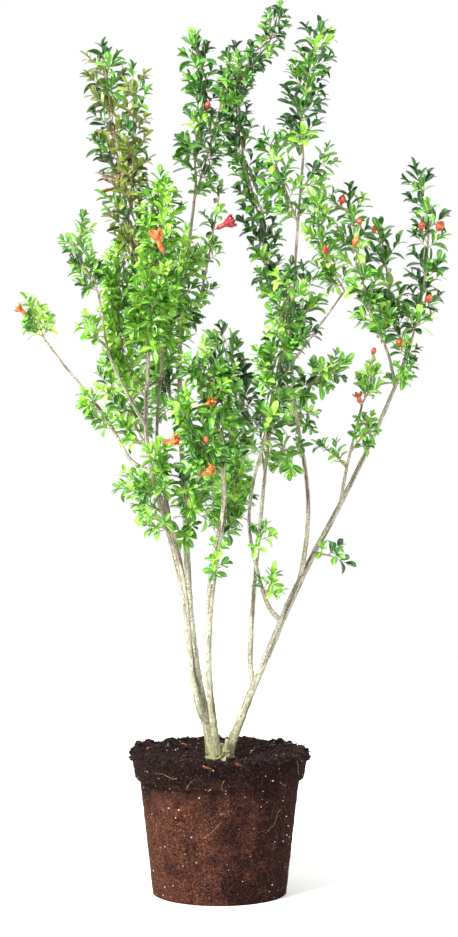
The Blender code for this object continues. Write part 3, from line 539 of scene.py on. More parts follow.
# %% Roots on the ball
def on_ball(row, column):
    """A point on the ball, between the points of its grid, and the way out from there."""
    rows, columns, _ = ball_grid.shape
    row = min(max(row, 0), rows - 1.001)
    r, c = int(row), int(column) % columns
    across = column - math.floor(column)
    after = (c + 1) % columns
    low, high = [ball_grid[k, c] * (1 - across) + ball_grid[k, after] * across for k in (r, r + 1)]
    place = low * (1 - row + r) + high * (row - r)
    side = ball_grid[r, after] - ball_grid[r, c]
    outward = np.cross(side, ball_grid[r + 1, c] - ball_grid[r, c])
    return place, outward / max(np.linalg.norm(outward), 1e-9)


def wander(rng, row, kind):
    """A root's path: a walk over the ball that turns a little at each step."""
    steps = rng.randint(*kind.steps)
    column = rng.uniform(0, BALL_COLUMNS)
    heading = rng.uniform(0, 2 * math.pi)
    path = []
    for _ in range(steps):
        place, outward = on_ball(row, column)
        path.append(place + outward * kind.lift)
        around = max(np.hypot(*place[:2]), 8) * 2 * math.pi / BALL_COLUMNS
        row += math.cos(heading) * kind.stride / BALL_STEP
        column += math.sin(heading) * kind.stride / around
        heading += rng.uniform(-kind.turning, kind.turning)
    return np.array(path)


# Each kind of root: how many, the least and most steps, the length of a step, how far it turns at
# each, how far it lies off the soil, its first and last radius, and its sides
Roots = namedtuple("Roots", "count steps stride turning lift radii sides")
FINE_ROOTS = Roots(600, (5, 11), 3.2, 0.7, 0.05, (0.34, 0.16), 3)
PALE_ROOTS = Roots(34, (5, 13), 4, 0.34, 0.3, (0.28, 0.10), 5)
# One pale root in this many runs down the side, and the others stay near the rim
SIDE_ROOT_EVERY = 8
RIM_THREADS = 260
THREAD_REACH = (4, 10)
THREAD_RADII = (0.5, 0.2)
THREAD_SIDES = 4


def make_roots():
    """Fine red-brown roots all over the side, and a few pale thicker ones."""
    rng = random.Random(21)
    side_rows = body_top / BALL_STEP
    fine = [wander(rng, rng.uniform(3, side_rows), FINE_ROOTS) for _ in range(FINE_ROOTS.count)]
    on_side, on_top = (20, side_rows), (0.95 * side_rows, len(ball_grid) - 26)
    pale = []
    for number in range(PALE_ROOTS.count):
        rows = on_top if number % SIDE_ROOT_EVERY else on_side
        pale.append(wander(rng, rng.uniform(*rows), PALE_ROOTS))
    return fine, pale


def make_threads():
    """Short dry threads that stand out of the rim, where the ball was pulled from its pot."""
    rng = random.Random(17)
    rim_rows = np.flatnonzero(ball_grid[:, 0, 2] > BALL_HEIGHT - 9).tolist()
    paths = []
    for _ in range(RIM_THREADS):
        place, outward = on_ball(rng.choice(rim_rows[:9]), rng.uniform(0, BALL_COLUMNS))
        reach = rng.uniform(*THREAD_REACH)
        lean = outward + [rng.uniform(-0.9, 0.9) for _ in "xyz"]
        curl = np.array([rng.uniform(-0.3, 0.3) for _ in "xyz"])
        tip = place + (lean + curl) * reach
        paths.append(np.array([place - outward, place + lean * reach / 2, tip]))
    return paths


fine_roots, pale_roots = make_roots()
root_red = make_grain("fine woody roots", "#2b1511", "#4f2c22", "#7d4c3a", 3, 0.9)
root_pale = make_grain("young root skin", "#6b523c", "#99805f", "#cbb894", 3, 0.8)
ball_pieces += [
    make_tubes("rim_threads", make_threads(), THREAD_RADII, THREAD_SIDES, crumb_soil),
    make_tubes("fine_roots", fine_roots, FINE_ROOTS.radii, FINE_ROOTS.sides, root_red),
    make_tubes("pale_roots", pale_roots, PALE_ROOTS.radii, PALE_ROOTS.sides, root_pale),
]

# %% [markdown]
# ## The limbs
# The stems and boughs are the model's own: each leaves its parent at a height and passes a few points
# on the way to its tip, and the smooth line through them carries a tube that tapers. Pomegranate bark
# is thin, so its relief is slight: shallow ridges that run with the stem, a swelling at each old pair
# of buds, and fluting low down. Displacing the finished tube by a texture would blur these at a fork,
# so they are worked out ring by ring. Each point also keeps its place on the limb as if the limb were
# straight, and the bark's pattern reads that, so that it follows every bend.

# %% Limb tables
TIP = None
LIMB_STEP = 70
FLARE = 0.3
FLARE_LENGTH = 24
Limb = namedtuple("Limb", "parent height through foot_radius tip_radius")
LIMBS = {
    "left_stem": Limb("root_crown", (-12, 2, 214), [
        (-42, 22, 391), (-53, 52, 560), (-63, 95, 845), (-38, 108, 1111)], 7.1, 2.0),
    "left_outer_stem": Limb("left_stem", 264, [
        (-36, -4, 310), (-64, -12, 503), (-110, -32, 690), (-109, -45, 850),
        (-123, -34, 986)], 5.6, 2.4),
    "left_inner_stem": Limb("left_outer_stem", 545, [
        (-81, -4, 600), (-94, 6, 663), (-97, 8, 727), (-89, 8, 834)], 3.6, 1.9),
    "centre_stem": Limb("root_crown", (-4, -14, 214), [
        (-17, -26, 350), (-12, -42, 470), (6, -72, 600), (3, -108, 705)], 6.0, 3.4),
    "right_stem": Limb("root_crown", (12, 2, 214), [
        (54, 12, 320), (130, 33, 490), (208, 55, 637), (272, 69, 775), (303, 67, 862)], 6.7, 2.4),
    "back_stem": Limb("right_stem", 317, [
        (48, 34, 368), (59, 95, 511), (83, 155, 732), (108, 169, 850), (94, 168, 912)], 4.0, 1.9),
    "cross_stem": Limb("right_stem", 419, [
        (72, -4, 455), (47, -42, 559), (50, -66, 630), (68, -92, 705)], 3.4, 1.9),
    "tall_stem": Limb("right_stem", 481, [
        (136, 6, 560), (135, -14, 639), (112, -41, 790), (113, -44, 930), (128, -30, 1133)], 3.6, 1.8),
    "left_bough": Limb("left_outer_stem", 723, [
        (-138, -75, 772), (-165, -110, 835), (-179, -128, 920)], 3.1, 1.7),
    "far_left_bough": Limb("left_outer_stem", 652, [
        (-140, 15, 675), (-180, 57, 740), (-250, 88, 825), (-276, 92, 859)], 3.1, 1.6),
    "right_inner_bough": Limb("back_stem", 802, [(143, 143, 862), (197, 120, 937)], 2.5, 1.6),
    "right_low_bough": Limb("right_stem", 605, [(198, 15, 660), (220, -12, 758)], 2.6, 1.6),
    "right_high_bough": Limb("right_stem", 789, [(267, 45, 828), (259, 36, 850)], 2.6, 1.8),
}


# %% Limb paths
def unit(vector):
    return vector / np.linalg.norm(vector)


def smooth_path(points, step):
    """Points about a step apart, on a smooth curve through every point that is given."""
    points = [np.array(point, float) for point in points]
    ends = [2 * points[0] - points[1], *points, 2 * points[-1] - points[-2]]
    path = []
    for a, b, c, d in zip(ends, ends[1:], ends[2:], ends[3:]):
        count = max(1, round(np.linalg.norm(c - b) / step))
        for t in np.arange(count) / count:
            bend = (2 * a - 5 * b + 4 * c - d) * t * t + (3 * b - a - 3 * c + d) * t ** 3
            path.append(b + ((c - a) * t + bend) / 2)
    path.append(points[-1])
    return np.array(path)


def point_at_height(path, height):
    """Where a path first rises to a height, and which way it runs there."""
    for a, b in zip(path, path[1:]):
        if a[2] <= height <= b[2]:
            return a + (b - a) * (height - a[2]) / (b[2] - a[2]), unit(b - a)
    raise ValueError(f"no point at height {height}")


def distance_along(path):
    return np.concatenate([[0], np.cumsum(np.linalg.norm(np.diff(path, axis=0), axis=1))])


def limb_radii(limb, path):
    """The limb's radius along its path, flared at the foot."""
    gone = distance_along(path)
    taper = limb.foot_radius + (limb.tip_radius - limb.foot_radius) * (gone / gone[-1]) ** 0.85
    return taper * (1 + FLARE * np.exp(-gone / FLARE_LENGTH))


limb_points, limb_paths, limb_sizes = {}, {}, {}
for name, limb in LIMBS.items():
    foot = limb.height
    if limb.parent != "root_crown":
        foot, _ = point_at_height(limb_paths[limb.parent], limb.height)
    limb_points[name] = [foot, *limb.through]
    limb_paths[name] = smooth_path(limb_points[name], LIMB_STEP)
    limb_sizes[name] = limb_radii(limb, limb_paths[name])
print(len(LIMBS), "limbs")

# %% Bark relief
BARK_STEP = 3.6
BARK_SIDES = 18
# How strong each kind of relief is, as a share of the limb's radius
RIDGES = 0.10
LUMPS = 0.11
BUD_SWELLING = 0.17
FLUTING = 0.07
# The gap from one pair of buds to the next, half a swelling, and how far up the fluting fades out
BUD_GAPS = (22, 46)
BUD_COUNT = 60
BUD_LENGTH = 2.6
FLUTING_FADE = 130
# Radii at which bark looks young and old
AGE_RADII = (2.0, 5.2)
# Strands that have grown together with a stem: from and to which heights, which way off, and how thick
Strand = namedtuple("Strand", "limb low high offset radius")
STRANDS = [
    Strand("left_stem", 240, 470, (-6.5, -6), 4.3),
    Strand("left_outer_stem", 395, 640, (6, -5), 3.6),
    Strand("centre_stem", 425, 590, (-4.5, -3), 3.6),
    Strand("right_stem", 335, 540, (-3, -6.5), 3.9),
]


def ring_frames(path):
    """The two directions across a path at each point, carried along it without a twist."""
    tangents = [unit(b - a) for a, b in zip(path, path[1:])]
    axes = [tangents[0], *[unit(a + b) for a, b in zip(tangents, tangents[1:])], tangents[-1]]
    across = unit(np.cross(axes[0], (0.3, 1, 0.2)))
    frames = []
    for axis in axes:
        across = unit(across - axis * across.dot(axis))
        frames.append((across, np.cross(axis, across)))
    return frames


def bark_tube(path, radii, rng):
    """A limb's rings with their relief, and each point's place on the straightened limb."""
    gone = distance_along(path)
    buds = np.cumsum([rng.uniform(*BUD_GAPS) for _ in range(BUD_COUNT)])
    bud_turns = [rng.uniform(0, 6.28) for _ in buds]
    flute = rng.uniform(0, 6.28)
    vertices, places = [], []
    for (across, beside), centre, along, radius in zip(ring_frames(path), path, gone, radii):
        nearest = int(np.abs(buds - along).argmin())
        swelling = BUD_SWELLING * math.exp(-((buds[nearest] - along) / BUD_LENGTH) ** 2)
        fluting = FLUTING * math.exp(-along / FLUTING_FADE)
        for turn in ring_turns(BARK_SIDES):
            cos, sin = math.cos(turn), math.sin(turn)
            straight = Vector((radius * cos, radius * sin, along))
            ridge = noise.noise(Vector((straight.x / 2.6, straight.y / 2.6, along / 26 + flute)))
            lump = noise.noise(Vector((straight.x / 9, straight.y / 9, along / 11 + flute)))
            relief = 1 + RIDGES * ridge + LUMPS * lump
            relief += swelling * (0.55 + 0.45 * math.cos(turn - bud_turns[nearest]))
            relief += fluting * math.cos(3 * turn + flute + along / 60)
            vertices.append(centre + (across * cos + beside * sin) * radius * relief)
            places.append(straight * MM)
    return vertices, places


def strand_tube(strand):
    """A strand's path beside its stem, which sinks into the stem at both ends."""
    path = smooth_path(limb_points[strand.limb], BARK_STEP)
    path = path[(path[:, 2] > strand.low) & (path[:, 2] < strand.high)]
    swell = np.sin(math.pi * np.linspace(0.03, 0.97, len(path))) ** 0.4
    return path + np.outer(swell, (*strand.offset, 0)), strand.radius * swell


def make_bark_piece(material):
    rng = random.Random(5)
    vertices, places, ages, faces = [], [], [], []
    lines = [(smooth_path(limb_points[name], BARK_STEP), limb) for name, limb in LIMBS.items()]
    lines = [(path, limb_radii(limb, path)) for path, limb in lines]
    for path, radii in lines + [strand_tube(strand) for strand in STRANDS]:
        more, straight = bark_tube(path, radii, rng)
        faces += ring_faces(len(vertices), len(path), BARK_SIDES)
        vertices += more
        places += straight
        ages += np.repeat(np.interp(radii, AGE_RADII, (0, 1)), BARK_SIDES).tolist()
    return add_piece("bark", vertices, faces, material, limb_place=places, age=ages)


# %% Bark colours
# What lies on the bark, one over the other: its colour, the pattern that it follows, where in that
# pattern it starts and is at its strongest, and how strong that is
BARK_MARKS = [
    ("#7d8457", "mottle", 0.50, 0.72, 0.55),
    ("#5d4a36", "flecks", 0.55, 0.63, 0.70),
    ("#dedfd2", "flecks", 0.43, 0.36, 0.60),
    ("#4a3a2a", "cracks", 0.43, 0.38, 0.80),
]


def make_bark():
    """Smooth grey-green bark that pales with age, with moss, flecks, pale flakes and cracks."""
    material, tree, shader = new_material("pomegranate bark", Roughness=0.78, Specular_IOR_Level=0.3)
    place = add_node(tree, "ShaderNodeAttribute", attribute_name="limb_place").outputs["Vector"]
    drawn_out = add_node(tree, "ShaderNodeMapping", {
        "Vector": place, "Scale": (1, 1, 0.1)}).outputs["Vector"]
    streaks = add_node(tree, "ShaderNodeTexNoise", {
        "Vector": drawn_out, "Scale": 1 / (2.4 * MM), "Detail": 5.0, "Roughness": 0.65})
    mottle = add_node(tree, "ShaderNodeTexNoise", {
        "Vector": place, "Scale": 1 / (14 * MM), "Detail": 4.0, "Roughness": 0.6})
    flecks = add_node(tree, "ShaderNodeTexNoise", {
        "Vector": place, "Scale": 1 / (3.4 * MM), "Detail": 3.0, "Roughness": 0.7})
    split = add_node(tree, "ShaderNodeMapping", {
        "Vector": place, "Scale": (1, 1, 0.05)}).outputs["Vector"]
    cracks = add_node(tree, "ShaderNodeTexNoise", {
        "Vector": split, "Scale": 1 / (5 * MM), "Detail": 2.0, "Roughness": 0.5, "Distortion": 0.4})
    old = add_node(tree, "ShaderNodeValToRGB", {"Fac": streaks.outputs["Fac"]}, stops=[
        (0.30, "#55533f"), (0.41, "#8c8b76"), (0.54, "#aaaa95"), (0.70, "#c9c9b9")])
    young = add_node(tree, "ShaderNodeValToRGB", {"Fac": streaks.outputs["Fac"]}, stops=[
        (0.30, "#6b604f"), (0.50, "#958a78"), (0.70, "#bab19f")])
    age = add_node(tree, "ShaderNodeAttribute", attribute_name="age").outputs["Fac"]
    aged = add_node(tree, "ShaderNodeMix", {
        0: age, MIX_A: young.outputs["Color"], MIX_B: old.outputs["Color"]}, data_type="RGBA")
    patterns = {"mottle": mottle, "flecks": flecks, "cracks": cracks}
    colour = aged
    for hex_colour, pattern, start, end, most in BARK_MARKS:
        share = add_node(tree, "ShaderNodeMapRange", {
            "Value": patterns[pattern].outputs["Fac"], "From Min": start, "From Max": end,
            "To Max": most})
        colour = add_node(tree, "ShaderNodeMix", {
            0: share.outputs["Result"], MIX_A: colour.outputs[MIX_RESULT],
            MIX_B: linear(hex_colour)}, data_type="RGBA")
    # Algae tinge the tenth of a metre above the soil, most where the mottle is high
    height = add_node(tree, "ShaderNodeSeparateXYZ", {
        "Vector": add_node(tree, "ShaderNodeTexCoord").outputs["Object"]}).outputs["Z"]
    low_down = add_node(tree, "ShaderNodeMapRange", {
        "Value": height, "From Min": 0.32, "From Max": 0.21, "To Max": 1.2})
    algae_share = add_node(tree, "ShaderNodeMath", {
        0: low_down.outputs["Result"], 1: mottle.outputs["Fac"]}, operation="MULTIPLY")
    algae = add_node(tree, "ShaderNodeMix", {
        0: algae_share.outputs["Value"], MIX_A: colour.outputs[MIX_RESULT],
        MIX_B: linear("#7c7a34")}, data_type="RGBA")
    tree.links.new(algae.outputs[MIX_RESULT], shader.inputs["Base Color"])
    bump = add_node(tree, "ShaderNodeBump", {
        "Height": streaks.outputs["Fac"], "Strength": 0.9, "Distance": 0.9 * MM})
    tree.links.new(bump.outputs["Normal"], shader.inputs["Normal"])
    return material


bark_material = make_bark()
bark = make_bark_piece(bark_material)

# %% [markdown]
# ## The root crown
# All the stems rise from one low gnarled knuckle, with the stub of a stem that broke off. It is the
# model's own dome, taken round in fine steps and pushed about by noise until it looks like old wood.

# %% Root crown
CROWN_RADIUS = 21
CROWN_HEIGHT = 25
CROWN_ROWS = 20
CROWN_COLUMNS = 64
STUB_PATH = [(10, -9, 218), (12, -13, 240)]
STUB_RADII = [4.2, 3.2]
STUB_STEP = 2.5


def make_crown(material):
    vertices, places = [], []
    for row in range(CROWN_ROWS + 1):
        rise = row / CROWN_ROWS
        radius = CROWN_RADIUS * math.sqrt(1 - 0.86 * rise ** 2.2)
        height = SOIL_LEVEL + CROWN_HEIGHT * rise
        for turn in ring_turns(CROWN_COLUMNS):
            knot = 1 + 0.1 * math.sin(3 * turn + 4 * rise) + 0.06 * math.sin(5 * turn)
            place = Vector((radius * math.cos(turn), radius * math.sin(turn), height))
            knot += 0.22 * noise.noise(place / 7) + 0.11 * noise.noise(place / 2.5)
            vertices.append((place.x * knot, place.y * knot, height + 1.4 * noise.noise(place / 5)))
            places.append(place * MM)
    faces = ring_faces(0, CROWN_ROWS + 1, CROWN_COLUMNS)
    path = smooth_path(STUB_PATH, STUB_STEP)
    more, straight = bark_tube(path, np.linspace(*STUB_RADII, len(path)), random.Random(8))
    faces += ring_faces(len(vertices), len(path), BARK_SIDES)
    places += straight
    return add_piece("root_crown_bark", vertices + more, faces, material,
                     limb_place=places, age=np.ones(len(places)))


crown = make_crown(bark_material)

# %% [markdown]
# ## The masses of foliage
# Each mass has a leader that goes on from a limb's tip or from a height on it, and keeps to its own
# space: a point belongs to the mass whose twigs are nearest, measured in shares of that mass's reach.
# The tables and the rule are the model's.

# %% Mass tables
CLEARANCE = 0.3
TIP_SHARE = 0.62
LEADER_STEP = 50
BLOOM_START = 4
SAMPLE_SPACING = 3.0
Mass = namedtuple("Mass", "host height through reach tint")
MASSES = {
    "left_spire": Mass("left_outer_stem", TIP, [
        (-144, -18, 1058), (-161, -8, 1166), (-180, 0, 1305)], 42, "bronze"),
    "left_spire_side": Mass("left_outer_stem", 957, [
        (-139, -48, 1031), (-131, -55, 1123), (-131, -50, 1267)], 33, "bronze"),
    "left_back_spire": Mass("left_stem", TIP, [
        (-41, 112, 1167), (-25, 118, 1252), (-41, 124, 1347)], 36, "deep"),
    "top_spire": Mass("left_stem", 1082, [
        (-17, 88, 1161), (1, 76, 1232), (37, 64, 1281), (77, 58, 1322), (95, 55, 1381)], 33, "mid"),
    "centre_spire": Mass("back_stem", TIP, [
        (75, 166, 989), (65, 160, 1053), (45, 155, 1129), (29, 148, 1208), (23, 142, 1273),
        (26, 140, 1330)], 34, "deep"),
    "tall_spire": Mass("tall_stem", TIP, [
        (125, -28, 1191), (133, -24, 1248), (157, -20, 1337)], 39, "deep"),
    "tall_low": Mass("tall_stem", 1035, [
        (104, -55, 1076), (87, -70, 1119), (72, -75, 1164)], 39, "mid"),
    "tall_right": Mass("tall_stem", 1081, [(141, -45, 1110), (162, -52, 1146)], 36, "mid"),
    "olive_shoot": Mass("right_inner_bough", TIP, [
        (171, 118, 989), (157, 113, 1045), (161, 108, 1116)], 31, "lime"),
    "right_top": Mass("right_high_bough", TIP, [
        (239, 28, 894), (224, 16, 944), (211, 5, 1005), (200, 0, 1084)], 43, "mid"),
    "right_top_back": Mass("right_stem", 841, [
        (274, 92, 890), (268, 104, 957), (256, 112, 1040)], 40, "deep"),
    "right_spire": Mass("right_stem", TIP, [
        (316, 64, 911), (326, 60, 983), (329, 55, 1045), (309, 50, 1123)], 34, "deep"),
    "right_side": Mass("right_stem", 774, [(287, 38, 816), (293, 20, 856)], 31, "mid"),
    "right_low": Mass("right_low_bough", TIP, [(230, -18, 778), (236, -25, 818)], 29, "mid"),
    "right_low_front": Mass("right_low_bough", 685, [(227, -20, 719), (226, -34, 750)], 29, "mid"),
    "right_low_back": Mass("right_low_bough", 660, [(183, 22, 678), (154, 40, 697)], 29, "mid"),
    "left_fringe": Mass("left_bough", TIP, [
        (-195, -135, 951), (-212, -140, 994), (-200, -142, 1035)], 36, "mid"),
    "far_left": Mass("far_left_bough", TIP, [(-289, 92, 890), (-304, 92, 920)], 39, "mid"),
    "far_left_low": Mass("far_left_bough", 709, [(-187, 42, 747), (-214, 34, 775)], 34, "mid"),
    "left_low": Mass("left_outer_stem", 589, [(-112, -5, 611), (-150, 8, 651)], 39, "mid"),
    "left_low_back": Mass("left_outer_stem", 686, [(-141, 10, 747), (-190, 30, 806)], 46, "mid"),
    "left_outer": Mass("left_bough", 840, [(-182, -112, 858), (-200, -104, 892)], 34, "mid"),
    "left_mid": Mass("left_outer_stem", 766, [
        (-146, -30, 824), (-156, -22, 892), (-153, -18, 962), (-135, -15, 1018)], 46, "mid"),
    "left_front": Mass("left_outer_stem", 827, [
        (-108, -80, 886), (-92, -100, 973), (-87, -113, 1097)], 45, "lime"),
    "left_back": Mass("left_stem", 734, [
        (-95, 110, 814), (-112, 130, 910), (-119, 140, 1010)], 56, "mid"),
    "inner_back": Mass("left_stem", 877, [(-33, 75, 921), (-15, 60, 1001), (2, 45, 1100)], 26, "mid"),
    "inner_front": Mass("left_inner_stem", TIP, [(-71, 10, 902), (-50, -10, 1024)], 48, "lime"),
    "centre_front": Mass("centre_stem", TIP, [(-8, -130, 768), (-21, -148, 848)], 59, "mid"),
    "centre_low": Mass("centre_stem", 659, [
        (-20, -120, 683), (-40, -138, 728), (-56, -150, 783)], 51, "mid"),
    "centre_low_back": Mass("left_stem", 575, [
        (-22, 80, 623), (10, 100, 678), (29, 118, 750)], 59, "mid"),
    "centre_bottom": Mass("centre_stem", 541, [(10, -34, 584), (22, -5, 629), (29, 8, 688)], 51, "mid"),
    "centre_tuft": Mass("centre_stem", 500, [(-2, -74, 521), (-9, -94, 553)], 29, "mid"),
    "centre_column": Mass("cross_stem", TIP, [
        (78, -105, 765), (94, -115, 848), (109, -120, 965)], 51, "mid"),
    "tall_side": Mass("tall_stem", 850, [(126, -62, 890), (128, -75, 965)], 42, "mid"),
    "centre_right": Mass("tall_stem", 769, [(149, -78, 800), (191, -100, 821)], 37, "mid"),
    "centre_right_low": Mass("tall_stem", 681, [(99, -58, 689), (65, -75, 711)], 43, "mid"),
    "back_column": Mass("back_stem", 701, [(39, 178, 753), (16, 188, 815), (0, 192, 879)], 46, "deep"),
    "back_low": Mass("back_stem", 646, [(68, 158, 682), (72, 170, 750)], 42, "mid"),
    "low_tuft": Mass("cross_stem", 463, [(75, -18, 472), (86, -26, 501)], 31, "lime"),
    "right_low_twigs": Mass("right_stem", 526, [(170, 12, 524), (196, -8, 516)], 26, "deep"),
    "left_tuft": Mass("left_outer_stem", 560, [(-91, -36, 578), (-112, -48, 607)], 33, "mid"),
    "left_low_front": Mass("left_outer_stem", 612, [(-103, -62, 650), (-88, -88, 699)], 42, "lime"),
    "centre_low_front": Mass("left_stem", 550, [(-49, -12, 599), (-54, -66, 653)], 45, "mid"),
    "cross_tuft": Mass("cross_stem", 529, [(58, -52, 547), (71, -60, 574)], 31, "mid"),
    "back_mid": Mass("back_stem", 772, [(127, 190, 756), (146, 205, 720)], 36, "mid"),
}

# %% Bloom table
# The centre of each bloom's mouth, its length and width, the way it points, its form, and how red it is
Bloom = namedtuple("Bloom", "mass place length width points form blush")
BLOOMS = [
    Bloom("inner_back", (23, 28, 1046), 30, 20, (0.90, -0.15, 0.42), "flower", 1.0),
    Bloom("left_front", (-96, -142, 1018), 34, 20, (-0.34, -0.15, 0.93), "flower", 0.0),
    Bloom("far_left", (-322, 80, 914), 20, 16, (-0.75, -0.25, 0.60), "star", 0.1),
    Bloom("left_back_spire", (-18, 80, 1237), 13, 10, (0.1, -0.2, 1.0), "bud", 0.7),
    Bloom("right_top", (191, -20, 1080), 15, 12, (0.3, -0.4, 0.85), "bud", 0.8),
    Bloom("right_top", (213, -35, 1044), 12, 9, (-0.2, -0.3, 0.9), "bud", 0.4),
    Bloom("right_top", (212, -32, 1015), 15, 11, (0.4, -0.3, 0.8), "bud", 0.2),
    Bloom("right_spire", (316, 30, 1044), 15, 11, (0.1, -0.3, 0.9), "bud", 0.5),
    Bloom("right_spire", (350, 48, 1046), 18, 14, (0.5, -0.2, 0.85), "bud", 0.1),
    Bloom("right_spire", (332, 40, 930), 14, 11, (0.5, -0.3, 0.7), "bud", 0.3),
    Bloom("right_top_back", (245, 82, 1042), 13, 9, (0.1, -0.3, 0.9), "bud", 0.5),
    Bloom("olive_shoot", (166, 85, 1010), 15, 12, (-0.2, -0.4, 0.9), "bud", 0.3),
    Bloom("right_side", (278, 0, 857), 14, 12, (-0.1, -0.7, 0.6), "star", 0.5),
    Bloom("right_low", (237, -45, 846), 12, 9, (0.2, -0.3, 0.9), "bud", 0.3),
    Bloom("right_low", (211, -45, 777), 17, 17, (-0.25, -0.25, 0.93), "star", 0.35),
    Bloom("centre_front", (-8, -170, 764), 18, 13, (0.5, -0.6, 0.2), "star", 0.0),
    Bloom("centre_low", (-60, -180, 708), 25, 17, (0.80, -0.45, 0.20), "flower", 0.1),
    Bloom("centre_low", (-18, -158, 712), 11, 8, (0.2, -0.4, 0.9), "bud", 0.2),
    Bloom("centre_low", (-8, -152, 664), 24, 14, (0.84, -0.25, 0.48), "flower", 0.0),
]


# %% Each mass's own space
def sample_line(points, spacing=SAMPLE_SPACING):
    """Points close together along a line of straight pieces."""
    samples = []
    for a, b in zip(points, points[1:]):
        count = max(1, math.ceil(np.linalg.norm(b - a) / spacing))
        samples += [a + (b - a) * k / count for k in range(count)]
    return np.array(samples + [points[-1]])


def leader_path(mass):
    """The middle twig of a mass, which stops a leaf short of where the mass ends."""
    host = limb_paths[mass.host]
    if mass.height is TIP:
        outward = unit(host[-1] - host[-2])
        foot = host[-1] + outward * CLEARANCE
    else:
        foot, _ = point_at_height(host, mass.height)
    points = [foot, *mass.through]
    tip, before = np.array(points[-1], float), np.array(points[-2], float)
    points[-1] = tip - unit(tip - before) * mass.reach * TIP_SHARE
    path = smooth_path(points, LEADER_STEP)
    if mass.height is TIP:
        path = np.concatenate([[foot], [foot + outward * 4], path[1:]])
    return path


def bloom_path(bloom, leader):
    """A short twig from just below a bloom, bent round into the way the bloom points."""
    mouth = np.array(bloom.place, float)
    outward = unit(np.array(bloom.points, float))
    below = mouth - (0, 0, 0.6 * bloom.length + 4)
    fine = sample_line(leader)[BLOOM_START:]
    start = fine[np.linalg.norm(fine - below, axis=1).argmin()]
    foot = mouth - outward * bloom.length
    return [start, foot - outward * 4, foot]


leaders = {name: leader_path(mass) for name, mass in MASSES.items()}
bloom_twigs = [bloom_path(bloom, leaders[bloom.mass]) for bloom in BLOOMS]
Bones = namedtuple("Bones", "starts ends start_values end_values owners")
rows = [(a, b, name) for name, path in leaders.items() for a, b in zip(path, path[1:])]
rows += [(path[0], np.array(bloom.place, float), bloom.mass)
         for bloom, path in zip(BLOOMS, bloom_twigs)]
reaches = np.array([MASSES[name].reach for _, _, name in rows], float)
space_bones = Bones(
    np.array([a for a, _, _ in rows]), np.array([b for _, b, _ in rows]), reaches, reaches,
    np.array([name for _, _, name in rows]))
limb_bones = Bones(
    np.concatenate([path[:-1] for path in limb_paths.values()]),
    np.concatenate([path[1:] for path in limb_paths.values()]),
    np.concatenate([radii[:-1] for radii in limb_sizes.values()]),
    np.concatenate([radii[1:] for radii in limb_sizes.values()]), None)
print(len(rows), "bones of twigs and", len(limb_bones.starts), "of limbs")


def segment_distances(points, starts, ends):
    """The distance from each point to each straight piece, and how far along that piece it is."""
    along = ends - starts
    offset = points[:, None, :] - starts[None, :, :]
    share = np.clip((offset * along).sum(2) / (along * along).sum(1), 0, 1)
    nearest = offset - share[:, :, None] * along
    return np.sqrt((nearest * nearest).sum(2)), share


def limb_gaps(points):
    """How far each point is from the nearest limb's bark."""
    distance, share = segment_distances(points, limb_bones.starts, limb_bones.ends)
    radius = limb_bones.start_values + (limb_bones.end_values - limb_bones.start_values) * share
    return (distance - radius).min(1)


def space_shares(points, name):
    """How far the points are from a mass's own twigs and from all others, as shares of reach."""
    distance, _ = segment_distances(points, space_bones.starts, space_bones.ends)
    shares = distance / space_bones.start_values
    mine = space_bones.owners == name
    return shares[:, mine].min(1), shares[:, ~mine].min(1)


# %% [markdown]
# ## Twigs, fine shoots and leaves
# Side twigs leave the leader at the golden angle, steeply and then rising, as in the model. In the
# model each big leaf stands for a spray, and here a fine shoot grows in its place, with small leaves
# in opposite pairs, each pair turned a quarter from the last, and one at the tip. A tree could be
# grown wholly in Geometry Nodes, but the test for each mass's own space is far easier in code, so the
# rule runs here and Geometry Nodes only set a leaf on each place that it finds.

# %% Growth settings
# Shares of a mass's reach: how far from its twigs it may grow, and by how much less than any other
# mass's share that has to be
SPACE_LIMIT = 1.15
SPRAY_LEAD = 0.03
TWIG_LEAD = 0.06
# How far a spray keeps from a limb's bark
LIMB_CLEAR = 1.2
# A mass of this reach has full sprays, and the others' are scaled by reach between two limits
FULL_REACH = 41
LEAST_SCALE = 0.7
MOST_SCALE = 1.15
GOLDEN_ANGLE = math.radians(137.5)
LEAVING_ANGLE = math.radians(56)
RISING_ANGLE = math.radians(34)
SPRAY_ANGLE = math.radians(50)
SPRAY_LENGTH = 54
SPRAY_SPACING = 21
SPRAY_CLEAR = 5.0
TWIG_SPACING = 36
# A side twig longer than this bends in its middle
LONG_TWIG = 36
# How much of a spray's length is shoot, where the rest is the leaf at its tip
SHOOT_SHARE = 0.58
LEADER_RADIUS = 1.9
TWIG_RADIUS = 1.15
SHOOT_RADIUS = 0.7
# The step in which twigs are looked at, and counts of such steps: how much of a twig's foot is bare,
# and how far from a leader's foot and tip its side twigs keep
FINE_STEP = 2
BARE_STEPS = 3
FIRST_TWIG = 7
LAST_TWIG = 5
# The shortest side twig, and the share by which they shorten from a leader's foot to its tip
LEAST_TWIG = 6
TWIG_SHORTENING = 0.3
# What is tried in turn for a spray or a twig that has no room at its full length
SPRAY_SHARES = (1, 0.8, 0.6)
TWIG_SHARES = (1, 0.75, 0.5)
# Leaf pairs from a spray's tip down: their sizes, and how many degrees they lean out
PAIR_SIZES = (0.62, 0.85, 1.0)
FIRST_LEAN = (28, 40)
LOWER_LEAN = (42, 62)
# How far one length, or one width or gap, is from the next, as a least and a most share
LENGTH_SPREAD = (0.85, 1.1)
EVEN_SPREAD = (0.85, 1.15)

